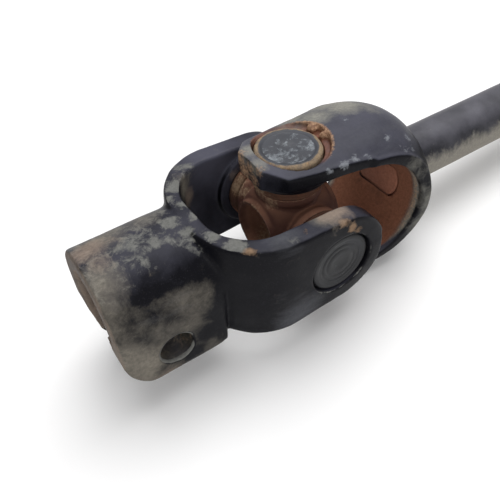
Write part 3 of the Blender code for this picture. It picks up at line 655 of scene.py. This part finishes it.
def clamp_yoke_mesh():
    """Ears that flare from a split collar. The collar's section is a circle above and square
    lugs below, cut to a rounded side outline, and the corner between collar and flare is eased
    by blending towards a far smoother copy of the surface."""
    collar = np.concatenate([
        quarter((0, 0), (COLLAR_RADIUS, COLLAR_RADIUS), 0, 180, 97),
        quarter((-11.4, -14.3), (3, 3), 180, 270, 13),
        quarter((11.4, -14.3), (3, 3), 270, 360, 13)])
    levels = [(0.0, COLLAR_END), (0.94, COLLAR_END), (0.965, -53.1), (0.99, -52.8), (1.0, -52.3),
              (1.0, -27.4), (0.0, -27.4)]
    body = skin("collar", np.stack([np.column_stack([np.full(len(collar), x), collar * share])
                                    for share, x in levels]))
    side = np.concatenate([
        [(-60, 20), (-60, -5.3)], quarter((-41.3, -5.3), (12.0, 12.0), 180, 270, 25),
        quarter((-32.4, -12.3), (5.0, 5.0), 270, 320, 13), [(-22.4, -14.5), (-22.4, 20)]])
    throat = turned("throat", [(0, -22.2), (9.0, -22.2), (9.0, -52.5), (9.8, COLLAR_END),
                               (9.8, -58), (0, -58)], TURN_ROD)
    slit = prism("slit", [(-1.6, -60), (1.6, -60), (1.6, -4.5), (-1.6, -4.5)], -70, -15, TURN_ROD)
    bolt = shift(bore("bolt", BOLT_RADIUS, COLLAR_RADIUS, TURN_NEAR, 0.4),
                 (BOLT_ALONG, 0, BOLT_UP))
    mesh = forged("clamp_yoke_look", [
        (JOIN, body), (TRIM, prism("side", side, -25, 25, TURN_NEAR)),
        (JOIN, arm("ears", CLAMP_YOKE)),
        (JOIN, boss("boss_near", 11.3, TURN_NEAR)), (JOIN, boss("boss_far", 11.3, TURN_FAR)),
        (CUT, throat), (CUT, slit), (CUT, bolt),
        (CUT, bore("bore", CUP_SEAT, CLAMP_YOKE.face, TURN_NEAR))], 0.33, 3)
    points, normals, edges = read_mesh(mesh)
    outside = ramp(np.hypot(points[:, 1], points[:, 2]), 11.5, 13.2)
    root = ramp(points[:, 0], -33.5, -30.5) * ramp(points[:, 0], -22.5, -25.5) * outside
    points += (soften(points, edges, 22) - points) * root[:, None]
    edge = dented(mesh, points, normals, edges, 0.05, 5.0, 21)
    x, y, z = points.T
    radius = np.hypot(y, z)
    rim = ramp(x, -52.3, -53.2)
    hollow = ramp(radius, 10.2, 9.4) * ramp(x, -24, -26)
    hole = np.hypot(x - BOLT_ALONG, z - BOLT_UP)
    bolt_hole = ramp(hole, 5.0, 4.3) * ramp(radius, 9.0, 10.0) * ramp(x, -36, -37)
    bolt_mouth = bolt_hole * ramp(-y, 13.2, 14.0)
    bolt_wall = 0.45 * (bolt_hole - bolt_mouth)
    top = ramp(normals[:, 2], 0.5, 0.85)
    top_of_collar = 0.52 * top * ramp(x, -27, -31)
    flank = 0.5 * ramp(np.abs(normals[:, 1]), 0.7, 0.95) * ramp(x, -28, -32)
    band = spots(points, CLAMP_YOKE_BAND) * top
    # Inner faces of the far ear, which face the fill lamp: their lighter paint is painted light
    far_inner_painted_light = ramp(-normals[:, 1], 0.5, 0.9) * ramp(y, 11.0, 14.0)
    smudges = spots(points, CLAMP_YOKE_SMUDGES)
    worn = np.maximum.reduce([spots(points, CLAMP_YOKE_BARE), 0.60 * edge_worn(edge),
                              top_of_collar, band])
    filmed = np.maximum(spots(points, CLAMP_YOKE_FILM), flank)
    # Painted light: tone is lighter on faces that look up, on the far ear's inner faces and in the
    # sheen spot on the far ear's top, and the haze spots include a painted sheen
    store(mesh,
          tone=0.5 * facing_up(normals) + spots(points, CLAMP_YOKE_SHEEN) + 0.55 * far_inner_painted_light,
          bare=np.maximum(worn - smudges, 1.2 * bolt_mouth),
          haze=np.maximum(0.12, spots(points, CLAMP_YOKE_HAZE_AND_SHEEN)),
          film=np.maximum.reduce([filmed - smudges - bolt_mouth, hollow * 0.6, bolt_wall]),
          rust=np.maximum.reduce([spots(points, CLAMP_YOKE_RUST), hollow * 0.4, bolt_wall]),
          dust=np.maximum.reduce([spots(points, CLAMP_YOKE_DUST), rim * 0.75, hollow * 0.9]))
    return mesh


def cross_mesh():
    """Forged cross: two shouldered spindles through a barrel with hollow ends, and the corners
    between them eased as in a die."""
    spindle = mirrored([(0, 17.7), (4.3, 17.7), (4.9, 17.1), (4.9, 11.2), (8.3, 11.2), (8.3, 9.6),
                        (7.4, 8.0)])
    barrel = [(0, 10.2), (7.9, 10.2), (7.9, 8.7)]
    barrel += [(7.9 + 2.3 * math.sin(a), 8.7 * math.cos(a))
               for a in np.radians(np.linspace(8, 70, 10))]
    hollow = [(0, 10.5), (7.0, 10.5), (6.9, 8.7), (6.2, 6.4), (5.2, 4.8), (0, 4.4)]
    mesh = forged("cross_look", [
        (JOIN, turned("spindle_a", spindle)),
        (JOIN, turned("spindle_b", spindle, TURN_NEAR)),
        (JOIN, turned("barrel", mirrored(barrel), TURN_ROD)),
        (CUT, turned("hollow_a", hollow, TURN_ROD)),
        (CUT, turned("hollow_b", [(r, -h) for r, h in hollow[::-1]], TURN_ROD))], 0.26, 5)
    points, normals, edges = read_mesh(mesh)
    edge = dented(mesh, points, normals, edges, 0.06, 3.0, 31, 4)
    x, y, z = points.T
    inside = ramp(np.hypot(y, z), 7.2, 6.6) * ramp(np.abs(x), 4.0, 5.0)
    # Painted light: tone is lighter on faces that look up and inside the hollow ends, where the
    # lighter paint stands in for light in place of their shade
    store(mesh, tone=facing_up(normals) + inside, bare=0.3, rust=spots(points, CROSS_RUST),
          dust=np.maximum(spots(points, CROSS_DUST_AND_HOLLOW_LIGHT), edge_worn(edge)))
    return mesh


def cup_mesh(name, turn, sunk, ring, bitten, fields):
    """Drawn cup as a turned profile: a rounded rim round a face that is sunk a little, with a
    dimple in the middle and two grooves between, a ring deep. The rim is bitten by the staking
    tool to a depth that a random field varies."""
    face, wall = 20.8, 8.0
    flat, groove = face - sunk, face - sunk - ring
    profile = [(0, flat - 0.3), (1.5, flat - 0.28), (2.2, flat - 0.1), (2.6, flat),
               (3.6, flat), (3.75, groove), (4.1, groove), (4.25, flat),
               (5.0, flat), (5.1, groove), (5.5, groove), (5.6, flat),
               (5.9, flat), (6.25, face - sunk * 0.8), (6.5, face - sunk * 0.2), (6.8, face)]
    profile += [(7.2 + 0.8 * math.sin(a), face - 0.8 + 0.8 * math.cos(a))
                for a in np.radians(np.linspace(0, 90, 7))]
    profile += [(wall, 16.0), (wall, 12.9), (7.0, 12.9), (7.0, 19.3), (0, 19.3)]
    mesh = turned(name, profile, steps=128)
    points, _, _ = read_mesh(mesh)
    front = points[:, 2] > 19.8
    points[:, 2] -= 0.03 * (1 + rough(points, 2.0, 41)) * front
    reach = np.hypot(points[:, 0], points[:, 1])
    points[:, 2] -= bitten * ramp(reach, 6.4, 7.0) * front * (1 + rough(points, 1.6, 42))
    store(mesh, **fields(reach))
    write_points(mesh, points @ turn)
    return mesh


def top_cup_fields(reach):
    """Tan dirt on the rim, and scuffs over the sunk face."""
    rim = ramp(reach, 6.6, 7.2)
    return dict(tone=0.75, bare=0.49 * ramp(reach, 6.4, 5.9), rust=rim * 0.5, dust=rim * 0.75)


def side_cup_fields(reach):
    """Face handled a little lighter than the dark rim round it, with no rust or dust."""
    return dict(tone=0.15 - 0.7 * ramp(reach, 6.8, 7.3), bare=0.25 * ramp(reach, 7.2, 6.6),
                rust=0.0, dust=0.0)


def seal_mesh(name, turn):
    """Seal as a turned profile with two grooves round its lip."""
    outline = [(8.3, 14.1), (8.7, 14.1), (8.8, 14.0), (8.8, 13.1), (8.75, 12.9), (8.45, 12.7),
               (8.4, 12.5), (8.45, 12.35), (8.75, 12.25), (8.8, 12.1), (8.75, 11.95),
               (8.45, 11.7), (8.4, 11.5), (5.2, 11.5), (5.2, 12.6), (8.3, 12.6)]
    mesh = turned(name, outline, turn, loop=True)
    points, _, _ = read_mesh(mesh)
    store(mesh, tone=0.8, rust=0.35 + 0.3 * rough(points, 3.0, 51), dust=spots(points, CROSS_DUST_AND_HOLLOW_LIGHT))
    return mesh


def rod_mesh():
    """Cold drawn rod: a long profile with chamfered ends, turned about X and dented by less
    than a tenth of a millimetre."""
    start = [(0.0, 29.8), (7.0, 29.8), (ROD_RADIUS, 30.3)]
    middle = [(ROD_RADIUS, x) for x in np.linspace(31, 178, 148)]
    end = [(ROD_RADIUS, 178.8), (6.3, 180.0), (0.0, 180.0)]
    mesh = turned("rod_look", start + middle + end, TURN_ROD)
    points, normals, _ = read_mesh(mesh)
    points[:, 1:] *= 1 - 0.004 * (1 + rough(points, 9.0, 61))[:, None]
    write_points(mesh, points)
    # Painted light: tone is lighter on the rod's upper side
    store(mesh, tone=0.2 + 0.35 * ramp(normals[:, 2], 0.5, 0.9), bare=0.32,
          film=ramp(-points[:, 2], -6.5, 1.5), rust=ramp(points[:, 0], 31.5, 30.5))
    return mesh


# Where wear, dirt and painted light show on each piece: x, y, z and radius in millimetres, and
# strength. Smudges take bare metal and film away, and the sheen spot makes the paint lighter as
# painted light.
SHAFT_YOKE_BARE = [
    (16, -0.6, 21.8, 3.2, 0.62), (21.8, -9.4, 19.4, 3.2, 0.62), (7.5, -11.1, 18.8, 3.5, 0.7),
    (3.4, -10.9, 18.6, 2.5, 0.6), (10.7, -11.1, 18.8, 3, 0.6), (14, -11.5, 18, 3, 0.5),
    (28, -10.1, 17, 3.5, 0.54), (27.2, -12.9, 15.4, 4, 0.55), (24, -12, 17, 4, 0.5)]
SHAFT_YOKE_HAZE_AND_SHEEN = [(8, 8, 20, 13, 1.0), (14, 4, 21, 9, 0.8)]
# Khaki film; the first and fourth spots, pale on the top of the ear, are a painted highlight
SHAFT_YOKE_FILM_AND_HIGHLIGHT = [
    (21, 6, 20.8, 10, 1.1), (26.2, -14.9, 12.6, 6, 0.5), (28.5, -15.5, 8.9, 6, 0.45),
    (20.5, 10.2, 19.1, 12, 1.0), (12.3, 6, 21, 9, 0.9), (25, 2, 20.5, 8, 0.6),
    (8, 12, 18, 10, 1.0), (-9.5, -2, 20.5, 5, 0.8), (34, -15, 0, 12, 0.6),
    (30.6, -16.2, 3.6, 6, 0.4), (33, -15.5, -8, 8, 0.8), (-9, 3, 21, 6, 0.9)]
SHAFT_YOKE_DUST = [
    (-10.8, 2, 17.5, 5, 0.95), (-10.8, -2, 17.3, 4, 0.8), (-10.8, 3.7, 20, 4, 0.95),
    (-10.8, -0.4, 19.7, 3.5, 0.85), (-10.5, -3.5, 20.5, 3, 0.75), (-1.5, -8.7, 21.7, 2.5, 0.9),
    (2.5, -9, 21.4, 2.0, 0.7)]
CLAMP_YOKE_BARE = [
    (-37.7, -3.5, 13.9, 6, 0.75), (-31.5, 0.1, 14.4, 6, 0.8), (-30.5, -4.6, 13.6, 5, 0.75),
    (-40.3, -1, 14.2, 7, 0.7), (-44, -5, 13, 6, 0.62), (-30.5, -8.9, 11.3, 5, 0.6),
    (-19.3, 15.6, 13.8, 8, 0.6), (-12, 16.5, 13, 8, 0.45), (-13.3, -18.9, 13.6, 8, 0.45)]
CLAMP_YOKE_BAND = [
    (-24.5, 11, 14, 7, 0.9), (-28.3, 7.2, 14.1, 5, 0.7), (-26.5, -0.8, 14.4, 5, 0.72),
    (-26.5, 3.5, 14, 5, 0.72), (-26.1, -8.6, 14.2, 5, 0.72), (-24.3, -13.7, 14, 5, 0.9),
    (-22.8, -15, 14, 3.5, 0.85)]
# Streaky grey haze; the spot low on the near ear's flank, at -12, -21, -10, is a painted sheen
CLAMP_YOKE_HAZE_AND_SHEEN = [
    (-45, -12.5, 5, 10, 0.4), (-38, -13, 4, 10, 0.4), (-18, -21, 0, 12, 0.25),
    (-12, -21, -10, 12, 1.0), (-14, -17, 13.5, 8, 0.9)]
CLAMP_YOKE_FILM = [
    (-50.9, -6.5, 12.8, 9, 0.85), (-52.5, -10.7, 9.6, 8, 0.7), (-52.2, -13.2, 5.6, 9, 0.6),
    (-52, -14.3, -4, 13, 1.0), (-47.9, -14.3, -9.8, 15, 1.1), (-37, -14.4, -3, 9, 0.55),
    (-44.5, -14, 1, 9, 0.6), (-22, 12.5, 11, 5, 1.1), (-41, -14.2, 0, 7, 0.6),
    (-45, 6, 13, 9, 0.8), (-36, 6, 13, 8, 0.6), (-3, -16.5, 13.1, 6, 0.8)]
# Painted sheen on the far ear's top, as lighter paint
CLAMP_YOKE_SHEEN = [(-12, 18, 13, 14, 0.6)]
CLAMP_YOKE_SMUDGES = [
    (-36, -9, 11, 6, 0.55), (-41, -10, 10, 5.5, 0.5), (-32, -11, 9, 5, 0.5),
    (-44, -11, 9, 4, 0.35), (-43.8, -13.7, 4.4, 6, 0.3), (-46.7, -14.3, 0.8, 5, 0.3),
    (-44.7, -14.4, -12.6, 4, 0.5), (-38.4, -14.3, -14.1, 5, 0.5), (-41.5, -14, 2.5, 6, 0.25),
    (-49, -13.5, 5, 4, 0.3), (-31, -14, -3, 5, 0.45), (-33, -14.3, -8, 6, 0.6),
    (-36, -14.3, -13, 4, 0.5)]
CLAMP_YOKE_DUST = [
    (-20.5, 13.5, 7, 5, 1.0), (-6.5, 14.5, 6, 4, 0.8), (-48.8, 3.4, 13.9, 8, 1.0),
    (-51.3, 2.5, 14.1, 7, 1.0), (-44.4, 3, 14, 6, 0.6), (-49, -2, 14, 7, 0.7),
    (-40.6, -14.4, -8.2, 8.5, 0.55), (-45, -13, -16.5, 9, 0.8), (-21.7, 12.5, 5.4, 5, 0.7),
    (-0.8, -16.2, 12.9, 8, 1.2), (1.5, -17.4, 12.8, 6, 1.0)]
CLAMP_YOKE_RUST = [
    (-22, -16.9, 13.9, 2.4, 0.95), (0.1, -20.7, 12.7, 3.2, 0.8), (1.9, -21.2, 10.3, 3.2, 0.8),
    (4, -21.2, 8.6, 2.6, 0.75), (-9, -18.5, 13, 2.5, 0.6)]
CROSS_RUST = [(-10, 0, 0, 8, 0.5)]
# Pale dust; the spot at -6, 0, -3 fills the hollow end with pale colour, painted light in place of
# its shade
CROSS_DUST_AND_HOLLOW_LIGHT = [
    (-7.7, 12, 4.2, 5, 1.0), (-6.3, 12.1, 6.1, 4, 0.9), (-6.9, 8.5, 4.5, 4, 0.9),
    (-8.5, 1, 13, 7, 1.0), (-7, -3, 10, 5, 0.8), (-6, 0, -3, 9, 1.0), (-10.2, 0, 7.5, 4, 0.7),
    (-3, 5, 8, 6, 0.6), (0, -9, 9, 6, 0.4)]


# The white that the photo fades to all round, how far from the middle of the table it begins
# and ends to do so, half the table's side, what the lamps face, all in metres, and the power
# of the fill lamp as a share of the other's
SURROUND = "#f7f7f7"
FADE_FROM, FADE_TO = 0.30, 0.65
TABLE_HALF = 3.0
LIT = (-0.04, 0.0, 0.02)
FILL_SHARE = 0.2
# The camera's focal length and frame in pixels of the photo, and its sensor in millimetres
FOCAL_PX, FRAME_PX, SENSOR_MM = 570.42, 500, 36.0


def link_cad(name, material):
    """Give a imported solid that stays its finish."""
    slots = frame["nodes"][name].data.materials
    slots.clear()
    slots.append(material)


class SteeringShaftFinish(bpy.types.PropertyGroup):
    """Colours and light that a user would change."""

    table: FloatVectorProperty(name="Table", description="Colour of the table top",
                               subtype="COLOR", size=4, min=0.0, max=1.0,
                               default=linear("#f2f2f3"))
    daylight: FloatProperty(name="Daylight", min=0.0, max=4.0, default=0.38,
                            description="Strength of the plain light from all sides")
    lamp: FloatProperty(name="Lamp", min=0.0, max=100.0, default=4.55, unit="POWER",
                        description="Power of the soft lamp behind the part, in watts")


class SHAFTLOOKS_OT_rod(bpy.types.Operator):
    """Build the round rod"""

    bl_idname = "shaftlooks.rod"
    bl_label = "Rod"

    def execute(self, context):
        add_piece("rod_look", rod_mesh(), "shaft_and_yoke", "grey_painted_steel",
                  weathered("grey paint on drawn rod", PAINTED_ROD), "shaft")
        return {"FINISHED"}


class SHAFTLOOKS_OT_shaft_yoke(bpy.types.Operator):
    """Build the turned yoke that the rod is fixed in"""

    bl_idname = "shaftlooks.shaft_yoke"
    bl_label = "Shaft Yoke"

    def execute(self, context):
        add_piece("shaft_yoke_look", shaft_yoke_mesh(), "shaft_and_yoke", "worn_black_paint",
                  weathered("black paint on turned forging", PAINTED_TURNING), "shaft_yoke")
        return {"FINISHED"}


class SHAFTLOOKS_OT_clamp_yoke(bpy.types.Operator):
    """Build the yoke with the split collar"""

    bl_idname = "shaftlooks.clamp_yoke"
    bl_label = "Clamp Yoke"

    def execute(self, context):
        add_piece("clamp_yoke_look", clamp_yoke_mesh(), "clamp_yoke", "worn_black_paint",
                  weathered("black paint on forging", PAINTED_FORGING), "clamp_yoke")
        return {"FINISHED"}


class SHAFTLOOKS_OT_cross(bpy.types.Operator):
    """Build the rusty cross"""

    bl_idname = "shaftlooks.cross"
    bl_label = "Cross"

    def execute(self, context):
        add_piece("cross_look", cross_mesh(), "cross", "rusty_forged_steel",
                  weathered("rusty forged steel", RUSTY_FORGING), "cross")
        return {"FINISHED"}


class SHAFTLOOKS_OT_bearings(bpy.types.Operator):
    """Build the four cups and their seals"""

    bl_idname = "shaftlooks.bearings"
    bl_label = "Bearings"

    def execute(self, context):
        steel = weathered("dull drawn steel", DULL_DRAWN_STEEL)
        rubber = weathered("dusty moulded rubber", DUSTY_RUBBER)
        for place, body, turn, sunk, ring, bitten, fields in (
                ("top", "shaft_and_yoke", TURN_TOP, 0.45, 0.0, 0.15, top_cup_fields),
                ("bottom", "shaft_and_yoke", TURN_BOTTOM, 0.25, 0.1, 0.0, side_cup_fields),
                ("near", "clamp_yoke", TURN_NEAR, 0.2, 0.1, 0.0, side_cup_fields),
                ("far", "clamp_yoke", TURN_FAR, 0.2, 0.1, 0.0, side_cup_fields)):
            cup = cup_mesh(place + "_cup", turn, sunk, ring, bitten, fields)
            add_piece(place + "_cup_look", cup, body, "dull_drawn_steel", steel,
                      place + "_bearing_cup")
            add_piece(place + "_seal_look", seal_mesh(place + "_seal", turn), body,
                      "dusty_brown_rubber", rubber, place + "_seal")
        return {"FINISHED"}


class SHAFTLOOKS_OT_inner_parts(bpy.types.Operator):
    """Finish the rollers and thrust pads inside the cups"""

    bl_idname = "shaftlooks.inner_parts"
    bl_label = "Rollers and Pads"

    def execute(self, context):
        # Hardened steel, ground: bright bare metal with hardly any grain
        ground = plain_finish("ground steel", "#9a9a98", "#b4b3af", 1.0, 0.25, 900.0)
        # Moulded nylon, aged by grease: cream and half dull
        nylon = plain_finish("moulded nylon", "#c6bfae", "#b3ab98", 0.0, 0.5, 400.0)
        for place in ("top", "bottom", "near", "far"):
            link_cad(place + "_needle_set", ground)
            link_cad(place + "_thrust_pad", nylon)
        return {"FINISHED"}


class SHAFTLOOKS_OT_stage(bpy.types.Operator):
    """Build the pale table, the soft light and the camera"""

    bl_idname = "shaftlooks.stage"
    bl_label = "Stage"

    def execute(self, context):
        finish = context.scene.shaft_finish
        # White laminate, pressed smooth: matt and faintly mottled, so only soft shadows show on
        # it. To the camera it fades to the surround's white, and shadows stay near the part.
        table, add = emptied(bpy.data.materials.new("white laminate table"))
        place = add("TexCoord", out="Object")
        camera_ray = add("LightPath", out="Is Camera Ray")
        glossy_ray = add("LightPath", out="Is Glossy Ray")
        grain = add("TexNoise", {"Vector": place, "Scale": 6.0})
        tone = add("Mix", {"Factor": grain, 6: finish.table, 7: linear("#f6f5f4")}, 2,
                   data_type="RGBA")
        matt = add("BsdfDiffuse", {"Color": tone})
        glow = add("Emission", {"Color": tone, "Strength": 0.03})
        both = add("AddShader", {0: matt, 1: glow})
        seen = add("Math", {0: camera_ray, 1: glossy_ray}, operation="MAXIMUM")
        shown = add("MixShader", {0: seen, 1: matt, 2: both})
        away = add("VectorMath", {0: place}, "Value", operation="LENGTH")
        away = add("MapRange", {"Value": away, "From Min": FADE_FROM, "From Max": FADE_TO})
        away = add("Math", {0: away, 1: camera_ray}, operation="MULTIPLY")
        paper = add("Emission", {"Color": linear(SURROUND)})
        shown = add("MixShader", {0: away, 1: shown, 2: paper})
        add("OutputMaterial", {"Surface": shown})
        corners = TABLE_HALF * np.array([(-1, -1, 0), (1, -1, 0), (1, 1, 0), (-1, 1, 0)])
        top = new_object("table", new_mesh("table", corners, np.array([[0, 1, 2, 3]])))
        top.data.materials.append(table)

        world, add = emptied(bpy.data.worlds.new("daylight"))
        even = add("Background", {"Color": linear("#ffffff"), "Strength": finish.daylight})
        paper = add("Background", {"Color": linear(SURROUND)})
        camera_ray = add("LightPath", out="Is Camera Ray")
        sky = add("MixShader", {0: camera_ray, 1: even, 2: paper})
        add("OutputWorld", {"Surface": sky})
        context.scene.world = world
        place_lamp("softbox", (0.12, 0.12, 0.60), 0.6, finish.lamp)
        place_lamp("fill", (-0.25, -0.45, 0.25), 0.4, finish.lamp * FILL_SHARE)
        place_camera()
        context.scene.view_settings.view_transform = "Standard"
        return {"FINISHED"}


def placed_axes(spot, right, up, back):
    """World matrix for a spot and three axes in world coordinates."""
    matrix = np.eye(4)
    matrix[:3] = np.column_stack([right, up, back, spot])
    return Matrix(matrix)


def place_lamp(name, spot, width, power):
    """Square soft lamp at a spot, turned to face the part."""
    lamp = bpy.data.lights.new(name, "AREA")
    lamp.size = width
    lamp.energy = power
    holder = new_object(name, lamp)
    back = np.array(spot) - np.array(LIT)
    back /= np.linalg.norm(back)
    right = np.cross((0, 0, 1), back)
    right /= np.linalg.norm(right)
    holder.matrix_world = placed_axes(spot, right, np.cross(back, right), back)


def place_camera():
    """Camera solved from the photo: where it stands in joint millimetres, and the directions of
    its right, down and ahead in joint axes."""
    camera = bpy.data.cameras.new("photo")
    camera.sensor_width = SENSOR_MM
    camera.lens = FOCAL_PX * SENSOR_MM / FRAME_PX
    camera.shift_x, camera.shift_y = 0.00656, -0.00648
    camera.clip_start = MM
    holder = new_object("photo", camera)
    spot = CENTRE + (np.array([-63.89, -86.9, 97.48]) * MM) @ AXES
    right, down, ahead = np.array([
        (0.8362, -0.5465, -0.0464), (-0.4164, -0.5775, -0.7022), (0.357, 0.6065, -0.7104)])
    holder.matrix_world = placed_axes(spot, right @ AXES, -down @ AXES, -ahead @ AXES)
    bpy.context.scene.camera = holder


class SHAFTLOOKS_PT_panel(bpy.types.Panel):
    """Panel that lists the finish and the pieces"""

    bl_label = "Steering Shaft"
    bl_idname = "SHAFTLOOKS_PT_panel"
    bl_space_type = "VIEW_3D"
    bl_region_type = "UI"
    bl_category = "Steering Shaft"

    def draw(self, context):
        for key in ("table", "daylight", "lamp"):
            self.layout.prop(context.scene.shaft_finish, key)
        for operator in STEPS:
            self.layout.operator(operator.bl_idname)


STEPS = (SHAFTLOOKS_OT_stage, SHAFTLOOKS_OT_rod, SHAFTLOOKS_OT_shaft_yoke,
         SHAFTLOOKS_OT_clamp_yoke, SHAFTLOOKS_OT_cross, SHAFTLOOKS_OT_bearings,
         SHAFTLOOKS_OT_inner_parts)
CLASSES = (SteeringShaftFinish, *STEPS, SHAFTLOOKS_PT_panel)


def register():
    for item in CLASSES:
        bpy.utils.register_class(item)
    bpy.types.Scene.shaft_finish = PointerProperty(type=SteeringShaftFinish)


def unregister():
    del bpy.types.Scene.shaft_finish
    for item in reversed(CLASSES):
        bpy.utils.unregister_class(item)


def main():
    register()
    for operator in STEPS:
        group, call = operator.bl_idname.split(".")
        getattr(getattr(bpy.ops, group), call)()


if __name__ == "__main__":
    main()
